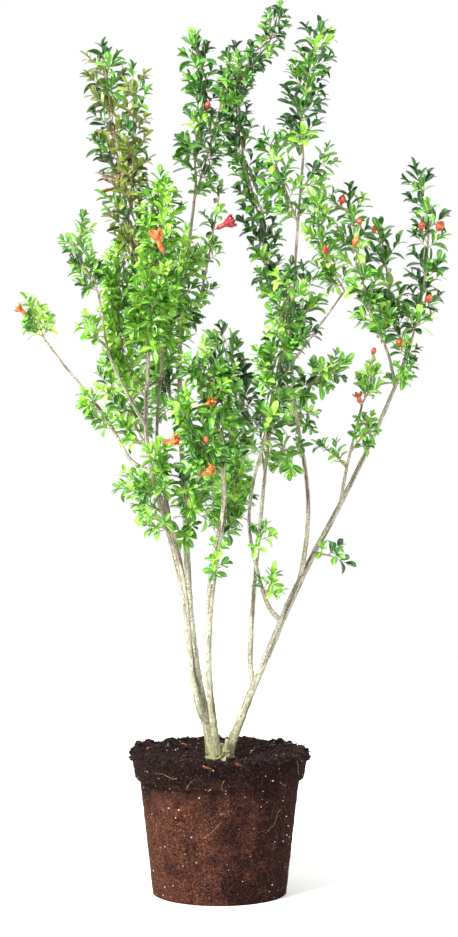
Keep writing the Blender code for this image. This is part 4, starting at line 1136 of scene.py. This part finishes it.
# How each kind of foliage looks: leaf length and width, the gap between pairs, and its tints
Habit = namedtuple("Habit", "length width spacing tints")
HABITS = {
    "mid": Habit(24, 9.6, 7.0, {"mid": 0.42, "bright": 0.42, "deep": 0.16}),
    "deep": Habit(30, 12.0, 9.2, {"deep": 0.46, "mid": 0.38, "bright": 0.16}),
    "lime": Habit(25, 9.0, 6.8, {"lime": 0.20, "bright": 0.48, "mid": 0.32}),
    "bronze": Habit(29, 10.5, 9.5, {"olive": 0.60, "mid": 0.25, "deep": 0.12, "young": 0.03}),
}
# Masses whose sprays get brighter tints, as painted light where the light falls on them, and others
# that get darker tints, as painted shade
PAINTED_LIT_MASSES = [
    "far_left", "far_left_low", "left_low", "left_low_back", "left_tuft", "left_mid", "left_low_front",
    "left_outer", "right_low", "right_low_front", "centre_tuft", "cross_tuft", "centre_right_low"]
PAINTED_LIGHT_TINTS = {"bright": 0.56, "mid": 0.34, "lime": 0.10}
PAINTED_SHADE_MASSES = ["top_spire", "tall_side", "back_low"]
PAINTED_SHADE_TINTS = {"mid": 0.50, "deep": 0.38, "bright": 0.12}
PAINTED_LIGHT_AND_SHADE_TINTS = {**dict.fromkeys(PAINTED_LIT_MASSES, PAINTED_LIGHT_TINTS), **dict.fromkeys(PAINTED_SHADE_MASSES, PAINTED_SHADE_TINTS)}
Leaf = namedtuple("Leaf", "foot along face length width")
# How full a mass is, where it isn't 1: below 1 the sky shows through it, and above 1 it is crowded
FULLNESS = {
    "left_fringe": 0.75, "right_low_back": 0.6, "right_low_twigs": 0.5, "inner_back": 0.7,
    "left_outer": 0.6, "right_spire": 0.85, "right_top_back": 0.7, "centre_spire": 0.85,
    "centre_right": 0.85, "left_mid": 2.3, "left_back": 1.3, "left_front": 1.7, "inner_front": 1.7,
    "centre_front": 1.7, "centre_low": 2.4, "centre_low_back": 1.3, "centre_bottom": 1.6,
    "far_left": 1.9, "left_spire": 1.2, "left_low_back": 1.2, "centre_column": 1.2,
    "top_spire": 1.2,
}


# %% Growth
class Growth:
    """One mass as it grows: its twigs, its fine shoots, and the leaves of each tint."""

    def __init__(self, name):
        self.name = name
        self.mass = MASSES[name]
        self.habit = HABITS[self.mass.tint]
        # Some masses take brighter tints as painted light, and others darker ones as painted shade, in
        # place of their habit's
        self.tints = PAINTED_LIGHT_AND_SHADE_TINTS.get(name, self.habit.tints)
        self.scale = min(MOST_SCALE, max(LEAST_SCALE, self.mass.reach / FULL_REACH))
        self.fullness = FULLNESS.get(name, 1)
        self.rng = random.Random(name)
        self.twigs = []
        self.shoots = []
        self.leaves = {}
        self.crowd = np.zeros((0, 3))

    def fits(self, samples, lead, gap):
        if limb_gaps(samples).min() < gap:
            return False
        own, others = space_shares(samples, self.name)
        return own.max() <= SPACE_LIMIT and (own + lead < others).all()

    def crowded(self, samples):
        if not len(self.crowd):
            return False
        gaps = samples[:, None, :] - self.crowd[None, :, :]
        return (gaps * gaps).sum(2).min() < (SPRAY_CLEAR / max(1, self.fullness)) ** 2

    def add_leaf(self, tint, foot, along, axis, length):
        """One small leaf, whose upper side faces the shoot's tip and the sky."""
        rng = self.rng
        face = axis * 0.8 + np.array((rng.uniform(-0.4, 0.4), rng.uniform(-0.6, 0.2), 0.7))
        face = unit(face - along * face.dot(along))
        width = self.habit.width * rng.uniform(*EVEN_SPREAD)
        width *= min(1, length / self.habit.length + 0.15)
        self.leaves.setdefault(tint, []).append(Leaf(foot, along, face, length, width))

    def add_spray(self, foot, along, across):
        """A fine shoot with its pairs of leaves, made shorter until it fits, or else none."""
        rng = self.rng
        length = SPRAY_LENGTH * self.scale * rng.uniform(*LENGTH_SPREAD)
        if rng.random() > self.fullness:
            return
        for share in SPRAY_SHARES:
            reach = length * share
            samples = sample_line([foot, foot + along * reach], 5)
            if self.fits(samples[1:], SPRAY_LEAD, LIMB_CLEAR) and not self.crowded(samples[2:]):
                break
        else:
            return
        self.crowd = np.concatenate([self.crowd, samples])
        tint = rng.choices(list(self.tints), list(self.tints.values()))[0]
        bend = np.array((rng.uniform(-0.15, 0.15), rng.uniform(-0.15, 0.15), rng.uniform(0, 0.25)))
        middle = foot + along * reach * SHOOT_SHARE / 2
        axis = unit(along + bend)
        tip = middle + axis * reach * SHOOT_SHARE / 2
        self.shoots.append(([foot, middle, tip], SHOOT_RADIUS))
        fine = sample_line([foot, middle, tip], 1)
        across = unit(across - along * across.dot(along))
        full = self.habit.length * min(1, 0.55 + 0.45 * self.scale)
        position = len(fine) - 1
        number = 0
        while position > BARE_STEPS:
            side = np.cross(axis, across) if number % 2 else across
            size = full * PAIR_SIZES[min(number, len(PAIR_SIZES) - 1)]
            lean = math.radians(rng.uniform(*(LOWER_LEAN if number else FIRST_LEAN)))
            for direction in (side, -side):
                outward = unit(axis * math.cos(lean) + direction * math.sin(lean))
                self.add_leaf(tint, fine[position], outward, axis, size * rng.uniform(*LENGTH_SPREAD))
            number += 1
            position -= max(3, round(self.habit.spacing * rng.uniform(*EVEN_SPREAD)))
        self.add_leaf(tint, tip, unit(axis + bend), across, full * rng.uniform(0.55, 0.9))

    def add_sprays(self, path):
        """A spray that goes on from a twig's tip, and pairs below it."""
        end = unit(path[-1] - path[-2])
        across = unit(np.cross(end, (self.rng.uniform(-1, 1), self.rng.uniform(-1, 1), 0.3)))
        self.add_spray(path[-1], end, across)
        fine = sample_line(path, FINE_STEP)
        position = len(fine) - 1 - BARE_STEPS
        number = 0
        while position > BARE_STEPS:
            axis = unit(fine[position] - fine[position - 1])
            across = unit(across - axis * across.dot(axis))
            side = np.cross(axis, across) if number % 2 else across
            for direction in (side, -side):
                along = unit(axis * math.cos(SPRAY_ANGLE) + direction * math.sin(SPRAY_ANGLE))
                self.add_spray(fine[position], along, axis)
            number += 1
            position -= int(SPRAY_SPACING * self.scale / max(1, self.fullness) / FINE_STEP)

    def add_twig(self, foot, axis, outward, length):
        """A side twig that leaves steeply and then rises, shortened until it fits, or none."""
        first = axis * math.cos(LEAVING_ANGLE) + outward * math.sin(LEAVING_ANGLE)
        second = axis * math.cos(RISING_ANGLE) + outward * math.sin(RISING_ANGLE)
        for share in TWIG_SHARES:
            middle = foot + first * length * share / 2
            tip = middle + second * length * share / 2
            path = [foot, middle, tip] if length * share > LONG_TWIG else [foot, tip]
            if self.fits(sample_line(path)[2:], TWIG_LEAD, LIMB_CLEAR + 1):
                self.twigs.append((path, TWIG_RADIUS))
                self.add_sprays(path)
                return

    def grow(self):
        """The leader's own sprays, and side twigs at the golden angle all the way up it."""
        leader = leaders[self.name]
        fine = sample_line(leader, FINE_STEP)
        turn = self.rng.uniform(0, 2 * math.pi)
        leaf_reach = SPRAY_LENGTH * self.scale * math.sin(RISING_ANGLE)
        rise = (math.sin(LEAVING_ANGLE) + math.sin(RISING_ANGLE)) / 2
        self.twigs.append((leader, LEADER_RADIUS))
        self.add_sprays(leader)
        spacing = int(TWIG_SPACING * self.scale / FINE_STEP)
        for position in range(FIRST_TWIG, len(fine) - LAST_TWIG, spacing):
            gone = position / len(fine)
            axis = unit(fine[position + 1] - fine[position])
            level = unit(np.cross(axis, (0.2, 1, 0.1)))
            outward = level * math.cos(turn) + np.cross(axis, level) * math.sin(turn)
            length = (self.mass.reach * (1 - TWIG_SHORTENING * gone ** 2) - leaf_reach) / rise
            length *= self.rng.uniform(*LENGTH_SPREAD)
            if length > LEAST_TWIG:
                self.add_twig(fine[position], axis, outward, length)
            turn += GOLDEN_ANGLE


# %% Every mass, grown
growths = [Growth(name) for name in MASSES]
for growth in growths:
    growth.grow()
all_leaves = {}
for growth in growths:
    for tint, found in growth.leaves.items():
        all_leaves.setdefault(tint, []).extend(found)
print({tint: len(found) for tint, found in all_leaves.items()}, "leaves")
print(sum(len(growth.shoots) for growth in growths), "sprays")

# %% [markdown]
# ## One leaf
# A pomegranate leaf is oblong and glossy, folded a little along its midrib and curved back at the
# tip. A flat card with a picture of a leaf would be lighter, but its outline would be wrong from the
# side, so each leaf is a thin closed blade of about forty faces, in six forms that bend, fold and
# twist by different amounts.

# %% Leaf forms
LEAF_STATIONS = [0.0, 0.07, 0.26, 0.48, 0.68, 0.85, 0.95, 1.0]
LEAF_WIDTHS = [0.08, 0.14, 0.62, 0.92, 1.0, 0.78, 0.42, 0.0]
BLADE_THICKNESS = 0.009
# Bend in degrees from foot to tip, fold of each half, and twist in degrees
LEAF_FORMS = [(6, 0.5, 4), (26, 0.9, -14), (48, 0.6, 10), (-16, 1.0, -8), (20, 0.4, 24), (36, 1.2, -22)]


def leaf_form(name, bend, fold, twist):
    """A blade one unit long and one unit wide, with its foot at the origin and its face up."""
    vertices, places = [], []
    centre = np.zeros(3)
    last = 0
    for station, width in zip(LEAF_STATIONS, LEAF_WIDTHS):
        slope = math.radians(bend) * (station - 0.15)
        centre = centre + np.array((0, math.cos(slope), -math.sin(slope))) * (station - last)
        last = station
        roll = math.radians(twist) * station
        for across, lift in ((-0.5, fold), (0, BLADE_THICKNESS), (0.5, fold), (0, -BLADE_THICKNESS)):
            half = across * width
            x = half * math.cos(roll)
            z = abs(half) * lift * 0.33 + half * math.sin(roll) * 0.3 + (lift if across == 0 else 0)
            vertices.append(centre + np.array((x, 0, z)))
            places.append((across + 0.5, station))
    faces = [(0, 1, 2, 3)]
    for ring in range(len(LEAF_STATIONS) - 1):
        base = ring * 4
        for side in range(4):
            after = (side + 1) % 4
            faces.append((base + side, base + side + 4, base + after + 4, base + after))
    mesh = bpy.data.meshes.new(name)
    mesh.from_pydata([tuple(vertex) for vertex in vertices], [], faces)
    layer = mesh.uv_layers.new(name="blade")
    for loop in mesh.loops:
        layer.data[loop.index].uv = places[loop.vertex_index]
    return mesh


def make_leaf_forms():
    forms = bpy.data.collections.new("leaf_forms")
    for number, (bend, fold, twist) in enumerate(LEAF_FORMS):
        mesh = leaf_form(f"leaf_form_{number}", bend, fold, twist)
        work = bmesh.new()
        work.from_mesh(mesh)
        bmesh.ops.remove_doubles(work, verts=work.verts, dist=1e-6)
        bmesh.ops.recalc_face_normals(work, faces=work.faces)
        work.to_mesh(mesh)
        work.free()
        mesh.shade_smooth()
        mesh.set_sharp_from_angle(angle=math.radians(70))
        forms.objects.link(bpy.data.objects.new(mesh.name, mesh))
    return forms


leaf_forms = make_leaf_forms()


# %% [markdown]
# ## The leaves' finish
# The upper side has a thin waxy skin, so it is smooth enough to catch the light, and the midrib is
# paler than the blade. The tints are from bright young green to the deep green of old leaves, and the
# youngest tips are bronze. Some masses take more of the bright tints as painted light, and some more of
# the deep ones as painted shade. Each spray has one tint, so each tint is one plain material, and the
# pattern in it is only what a real leaf has: the pale midrib, side veins and slight unevenness.

# %% Leaf materials
LEAF_TINTS = {
    "deep": ("#0e3013", "#32702a", "#93b26a"),
    "mid": ("#276510", "#63a82f", "#b4d074"),
    "bright": ("#50961a", "#9ad642", "#d9ea96"),
    "lime": ("#84bb32", "#b6e260", "#e6f1b0"),
    "olive": ("#50621c", "#7a8b30", "#bab872"),
    "young": ("#764a22", "#a06a2e", "#c89c5c"),
}


# Side veins for each length of leaf, which sets them about 2 mm apart
SIDE_VEINS = 12


def make_leaf_material(name, dark, light, rib):
    material, tree, shader = new_material(
        f"pomegranate leaf {name}", Roughness=0.36, Specular_IOR_Level=0.5, Coat_Weight=0.35,
        Coat_Roughness=0.17)
    blade = add_node(tree, "ShaderNodeUVMap", uv_map="blade").outputs["UV"]
    place = add_node(tree, "ShaderNodeTexCoord").outputs["Object"]
    parts = add_node(tree, "ShaderNodeSeparateXYZ", {"Vector": blade})
    off_middle = add_node(tree, "ShaderNodeMath", {0: parts.outputs["X"], 1: 0.5}, operation="SUBTRACT")
    from_rib = add_node(tree, "ShaderNodeMath", {0: off_middle.outputs["Value"]}, operation="ABSOLUTE")
    rib_share = add_node(tree, "ShaderNodeMapRange", {
        "Value": from_rib.outputs["Value"], "From Min": 0.02, "From Max": 0.11, "To Min": 0.75,
        "To Max": 0.0})
    spread = add_node(tree, "ShaderNodeTexNoise", {
        "Vector": place, "Scale": 1 / (12 * MM), "Detail": 3.0})
    tone = add_node(tree, "ShaderNodeAttribute", attribute_name="tone").outputs["Fac"]
    uneven = add_node(tree, "ShaderNodeMath", {
        0: spread.outputs["Fac"], 1: 0.5, 2: tone}, operation="MULTIPLY_ADD")
    patchy = add_node(tree, "ShaderNodeMapRange", {
        "Value": uneven.outputs["Value"], "From Min": 0.42, "From Max": 1.16})
    body = add_node(tree, "ShaderNodeMix", {
        0: patchy.outputs["Result"], MIX_A: linear(dark), MIX_B: linear(light)}, data_type="RGBA")
    veined = add_node(tree, "ShaderNodeMix", {
        0: rib_share.outputs["Result"], MIX_A: body.outputs[MIX_RESULT],
        MIX_B: linear(rib)}, data_type="RGBA")
    tree.links.new(veined.outputs[MIX_RESULT], shader.inputs["Base Color"])
    slant = add_node(tree, "ShaderNodeMath", {
        0: from_rib.outputs["Value"], 1: -0.5, 2: parts.outputs["Y"]}, operation="MULTIPLY_ADD")
    veins = add_node(tree, "ShaderNodeMath", {
        0: slant.outputs["Value"], 1: SIDE_VEINS * 2 * math.pi}, operation="MULTIPLY")
    wave = add_node(tree, "ShaderNodeMath", {0: veins.outputs["Value"]}, operation="SINE")
    bump = add_node(tree, "ShaderNodeBump", {
        "Height": wave.outputs["Value"], "Strength": 0.15, "Distance": 0.15 * MM})
    tree.links.new(bump.outputs["Normal"], shader.inputs["Normal"])
    return material


leaf_materials = {tint: make_leaf_material(tint, *colours) for tint, colours in LEAF_TINTS.items()}
print(len(leaf_materials), "leaf materials")

# %% [markdown]
# ## Setting the leaves
# A leaf's place is its foot, the way it points and the way it faces. Those make a turn, which is
# stored on a point with the leaf's size and its form, and the tree sets the form there.

# %% Leaves on their points
leaf_tree, given = new_tree("leaves on points", {"Forms": "Collection", "Material": "Material"})
turn = add_node(leaf_tree, "GeometryNodeInputNamedAttribute", {
    "Name": "turn"}, data_type="FLOAT_VECTOR")
turned = add_node(leaf_tree, "FunctionNodeEulerToRotation", {"Euler": turn.outputs["Attribute"]})
size = add_node(leaf_tree, "GeometryNodeInputNamedAttribute", {
    "Name": "size"}, data_type="FLOAT_VECTOR")
form = add_node(leaf_tree, "GeometryNodeInputNamedAttribute", {"Name": "form"}, data_type="INT")
forms = add_node(leaf_tree, "GeometryNodeCollectionInfo", {
    "Collection": given["Forms"], "Separate Children": True, "Reset Children": True})
leaves = add_node(leaf_tree, "GeometryNodeInstanceOnPoints", {
    "Points": given["Geometry"], "Instance": forms.outputs["Instances"], "Pick Instance": True,
    "Instance Index": form.outputs["Attribute"], "Rotation": turned.outputs["Rotation"],
    "Scale": size.outputs["Attribute"]})
end_tree(leaf_tree, leaves.outputs["Instances"], given["Material"])


def euler_turns(across, along, face):
    """The XYZ turns that take the axes to these three directions, for many leaves at once."""
    return np.stack([np.arctan2(along[:, 2], face[:, 2]),
                     np.arcsin(np.clip(-across[:, 2], -1, 1)),
                     np.arctan2(across[:, 1], across[:, 0])], axis=1)


BLOOM_VIEW = 20
LEAF_CLEAR = 1.0
BOX_MARGIN = 8


def bloom_gaps(points):
    """How far points are from the nearest bloom, with the way in front of it left open as well."""
    gaps = np.full(len(points), np.inf)
    for bloom, path in zip(BLOOMS, bloom_twigs):
        mouth = np.array(bloom.place, float)
        depth = (path[-1][1] + mouth[1]) / 2
        brought = points.copy()
        ahead = points[:, 1] < depth
        brought[ahead, 1] = np.minimum(points[ahead, 1] + BLOOM_VIEW, depth)
        distance, _ = segment_distances(brought, path[-1][None], mouth[None])
        gaps = np.minimum(gaps, distance[:, 0] - 0.45 * bloom.width)
    return gaps


def keep_inside(found):
    """Drop the leaves that touch a limb or a bloom, or leave the model's box."""
    feet = np.array([leaf.foot for leaf in found])
    run = np.array([leaf.along * leaf.length for leaf in found])
    low = np.array(cad_low) / MM - BOX_MARGIN
    high = np.array(cad_high) / MM + BOX_MARGIN
    kept = ((feet + run > low) & (feet + run < high)).all(1)
    for share in (0.5, 0.75, 1.0):
        kept &= limb_gaps(feet + run * share) > LEAF_CLEAR
        kept &= bloom_gaps(feet + run * share) > 0
    return [leaf for leaf, keep in zip(found, kept) if keep]


def set_leaves(name, found, material):
    feet, along, face = [np.array(part) for part in list(zip(*found))[:3]]
    mesh = make_mesh(name, feet, [])
    add_attribute(mesh, "turn", euler_turns(np.cross(along, face), along, face))
    sizes = np.array([(leaf.width, leaf.length, leaf.length) for leaf in found])
    add_attribute(mesh, "size", sizes * MM)
    rng = random.Random(name)
    add_attribute(mesh, "form", [rng.randrange(len(LEAF_FORMS)) for _ in found])
    add_attribute(mesh, "tone", [rng.random() for _ in found])
    return run_tree(name, mesh, leaf_tree, {"Forms": leaf_forms, "Material": material})


leaf_pieces = {tint: set_leaves(f"leaves_{tint}", keep_inside(found), leaf_materials[tint])
               for tint, found in all_leaves.items()}

# %% [markdown]
# ## Twigs and shoots
# Twigs are thin, smooth and grey-brown, and the finest shoots are still green with a red side.

# %% Twigs
twig_bark = make_grain("young twig bark", "#6d5a45", "#9a8a70", "#c4b89c", 3, 0.75)
shoot_skin = make_grain("green shoot skin", "#6f7436", "#8e8f4a", "#a8774a", 8, 0.6)
TWIG_TAPER = 0.6


def tapering_tubes(name, found, sides, material):
    """Tubes along paths that each come with a radius at the foot."""
    paths, radii = zip(*found)
    return make_tubes(name, [np.array(path) for path in paths], (1, TWIG_TAPER), sides, material, radii)


grown_twigs = [twig for growth in growths for twig in growth.twigs]
grown_twigs += [(path, TWIG_RADIUS) for path in bloom_twigs]
grown_shoots = [shoot for growth in growths for shoot in growth.shoots]
twigs = tapering_tubes("twigs", grown_twigs, 7, twig_bark)
shoots = tapering_tubes("shoots", grown_shoots, 5, shoot_skin)

# %% [markdown]
# ## Blossom
# The flower is a thick waxy funnel that opens in pointed lobes, with thin crumpled petals and a tuft
# of stamens in its mouth. When the petals have dropped, the lobes spread in a star, and a bud is the
# same tube still shut. The tube is turned round its own axis in rings, with the lobes as a wave in
# the last rings, and the petals are small sheets that noise crumples.

# %% Blossom forms
BLOOM_COLUMNS = 36
# Shares of the length and of the width, outside from the foot to the mouth and back down inside,
# and how strongly the lobes show there
BLOOM_RINGS = {
    "flower": [
        (-0.04, 0.06, 0), (0.02, 0.13, 0), (0.08, 0.18, 0), (0.16, 0.20, 0), (0.26, 0.19, 0),
        (0.36, 0.19, 0), (0.46, 0.23, 0), (0.56, 0.30, 0.1), (0.66, 0.36, 0.5), (0.77, 0.42, 1.0),
        (0.75, 0.39, 1.0), (0.65, 0.32, 0.5), (0.56, 0.25, 0.1), (0.48, 0.16, 0), (0.44, 0.02, 0)],
    "star": [
        (-0.04, 0.06, 0), (0.04, 0.15, 0), (0.14, 0.22, 0), (0.26, 0.24, 0), (0.38, 0.20, 0),
        (0.50, 0.20, 0), (0.60, 0.25, 0.3), (0.72, 0.35, 1.0), (0.84, 0.46, 1.9),
        (0.82, 0.43, 1.9), (0.70, 0.31, 1.0), (0.58, 0.20, 0.3), (0.48, 0.13, 0), (0.42, 0.02, 0)],
    "bud": [
        (-0.04, 0.08, 0), (0.04, 0.18, 0), (0.14, 0.29, 0), (0.28, 0.39, 0), (0.42, 0.46, 0),
        (0.56, 0.48, 0.1), (0.70, 0.42, 0.3), (0.82, 0.29, 0.6), (0.92, 0.15, 0.7), (0.99, 0.02, 0)],
}


# %% Calyxes
def bloom_frame(bloom, path):
    """Where a bloom starts, the way it points, and two directions across that."""
    axis = unit(np.array(bloom.points, float))
    across = unit(np.cross(axis, (0.3, 1, 0.2)))
    return np.array(path[-1]), axis, across, np.cross(axis, across)


def make_calyxes(material):
    """The tubes: where the lobes are, a wave lifts their tips and draws in the gaps."""
    vertices, faces, blushes = [], [], []
    for bloom, path in zip(BLOOMS, bloom_twigs):
        foot, axis, across, beside = bloom_frame(bloom, path)
        rings = BLOOM_RINGS[bloom.form]
        faces += ring_faces(len(vertices), len(rings), BLOOM_COLUMNS)
        for length_share, width_share, lobes in rings:
            for turn in ring_turns(BLOOM_COLUMNS):
                wave = abs(math.cos(3 * turn)) ** 0.8 - 0.55
                along = bloom.length * (length_share + 0.16 * lobes * wave)
                radius = bloom.width * width_share * (1 + 0.12 * lobes * wave)
                out = across * math.cos(turn) + beside * math.sin(turn)
                vertices.append(foot + axis * along + out * radius)
        blushes += [bloom.blush] * (len(vertices) - len(blushes))
    return add_piece("calyxes", vertices, faces, material, blush=blushes)


# %% Petals
PETALS = 9
PETAL_ROWS = 8
PETAL_COLUMNS = 7
PETAL_SKIN = 0.2
# Shares of the bloom's length where a petal starts and that it rises, and of its width
PETAL_START = 0.47
PETAL_RISE = (0.44, 0.58)
PETAL_WIDTH = 0.46


def petal_sheet(bloom, axis, out, sideways, seed, reach):
    """One crumpled petal, row by row from the bloom's foot, and the way out at each point."""
    places = []
    for row in range(PETAL_ROWS):
        rise = row / (PETAL_ROWS - 1)
        width = bloom.width * PETAL_WIDTH * math.sin(math.pi * (0.12 + 0.8 * rise)) ** 0.7
        for column in range(PETAL_COLUMNS):
            share = column / (PETAL_COLUMNS - 1) - 0.5
            ripple = noise.noise(Vector((share * 6 + seed, rise * 5, seed)))
            spread = bloom.width * (0.13 + 0.34 * rise ** 0.6 + 0.24 * ripple * rise)
            height = bloom.length * (PETAL_START + reach * rise - 0.16 * abs(ripple) * rise)
            places.append(axis * height + out * spread + sideways * share * width)
    return places


def make_petals(material):
    """Crumpled petals in each open flower, with a front and a back."""
    rng = random.Random(3)
    vertices, faces, blushes = [], [], []
    for bloom, path in zip(BLOOMS, bloom_twigs):
        if bloom.form != "flower":
            continue
        foot, axis, across, beside = bloom_frame(bloom, path)
        for petal in range(PETALS):
            turn = (petal + 0.5) * 2 * math.pi / PETALS + rng.uniform(-0.15, 0.15)
            out = across * math.cos(turn) + beside * math.sin(turn)
            sideways = beside * math.cos(turn) - across * math.sin(turn)
            seed, reach = rng.uniform(0, 50), rng.uniform(*PETAL_RISE)
            sheet = petal_sheet(bloom, axis, out, sideways, seed, reach)
            for skin, order in ((PETAL_SKIN, 1), (-PETAL_SKIN, -1)):
                for row in range(PETAL_ROWS - 1):
                    first = len(vertices) + row * PETAL_COLUMNS
                    for a in range(first, first + PETAL_COLUMNS - 1):
                        faces.append((a, a + 1, a + 1 + PETAL_COLUMNS, a + PETAL_COLUMNS)[::order])
                vertices += [foot + place + out * skin for place in sheet]
        blushes += [bloom.blush] * (len(vertices) - len(blushes))
    return add_piece("petals", vertices, faces, material, blush=blushes)


# %% Flower skins
def make_flower_skin(name, orange, red, roughness):
    """A skin mottled in orange or in crimson, by each flower's own blush."""
    material, tree, shader = new_material(name, Roughness=roughness, Specular_IOR_Level=0.5)
    place = add_node(tree, "ShaderNodeTexCoord").outputs["Object"]
    mottle = add_node(tree, "ShaderNodeTexNoise", {
        "Vector": place, "Scale": 1 / (6 * MM), "Detail": 3.0})
    low, high = [add_node(tree, "ShaderNodeValToRGB", {"Fac": mottle.outputs["Fac"]},
                          stops=list(zip((0.36, 0.50, 0.66), colours))) for colours in (orange, red)]
    blush = add_node(tree, "ShaderNodeAttribute", attribute_name="blush").outputs["Fac"]
    colour = add_node(tree, "ShaderNodeMix", {
        0: blush, MIX_A: low.outputs["Color"], MIX_B: high.outputs["Color"]}, data_type="RGBA")
    tree.links.new(colour.outputs[MIX_RESULT], shader.inputs["Base Color"])
    return material


calyx_wax = make_flower_skin("waxy pomegranate calyx", ("#8a3312", "#bd5721", "#e08446"),
                             ("#6c1416", "#9e2a2a", "#c65046"), 0.35)
petal_silk = make_flower_skin("crumpled pomegranate petal", ("#b9521c", "#dd7d38", "#f3a468"),
                              ("#981c30", "#cc384a", "#e87276"), 0.7)
flower_pieces = [make_calyxes(calyx_wax), make_petals(petal_silk)]


# %% Stamens
STAMENS = 26
# Shares of the bloom's length where a thread starts and ends
STAMEN_START = 0.56
STAMEN_END = (0.76, 0.92)


def make_stamens():
    rng = random.Random(14)
    paths = []
    for bloom, path in zip(BLOOMS, bloom_twigs):
        if bloom.form == "bud":
            continue
        foot, axis, across, beside = bloom_frame(bloom, path)
        for _ in range(STAMENS):
            turn = rng.uniform(0, 2 * math.pi)
            out = across * math.cos(turn) + beside * math.sin(turn)
            low = foot + axis * bloom.length * STAMEN_START + out * bloom.width * 0.06
            high = foot + axis * bloom.length * rng.uniform(*STAMEN_END)
            high = high + out * bloom.width * rng.uniform(0, 0.18)
            paths.append(np.array([low, (low + high) / 2 + out * 0.3, high, high + axis * 0.9]))
    return paths


stamen_skin = make_grain("pollen yellow stamens", "#c98a1e", "#e0a92f", "#f0c65a", 3, 0.7)
# Each thread narrows, and ends in a thick grain of pollen
STAMEN_RADII = (0.25, 0.22, 0.5, 0.35)
flower_pieces.append(make_tubes("stamens", make_stamens(), STAMEN_RADII, 5, stamen_skin))

# %% [markdown]
# ## Riding on the frame
# Each piece rides on the one body, and the model's solids that the pieces take the place of are hidden.
# The leaves of a tint take the place of the masses that are mostly of that tint.

# %% Ride and replace
STANDS_FOR = {"mid": "mid", "deep": "deep", "lime": "lime", "olive": "bronze"}
for tint, piece in leaf_pieces.items():
    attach(piece, "root")
    if tint in STANDS_FOR:
        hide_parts(*[name for name, mass in MASSES.items() if mass.tint == STANDS_FOR[tint]])
for piece in [twigs, shoots, bark, crown, *flower_pieces, *ball_pieces]:
    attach(piece, "root")
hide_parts(*LIMBS)
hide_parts("root_crown")
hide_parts("root_ball")
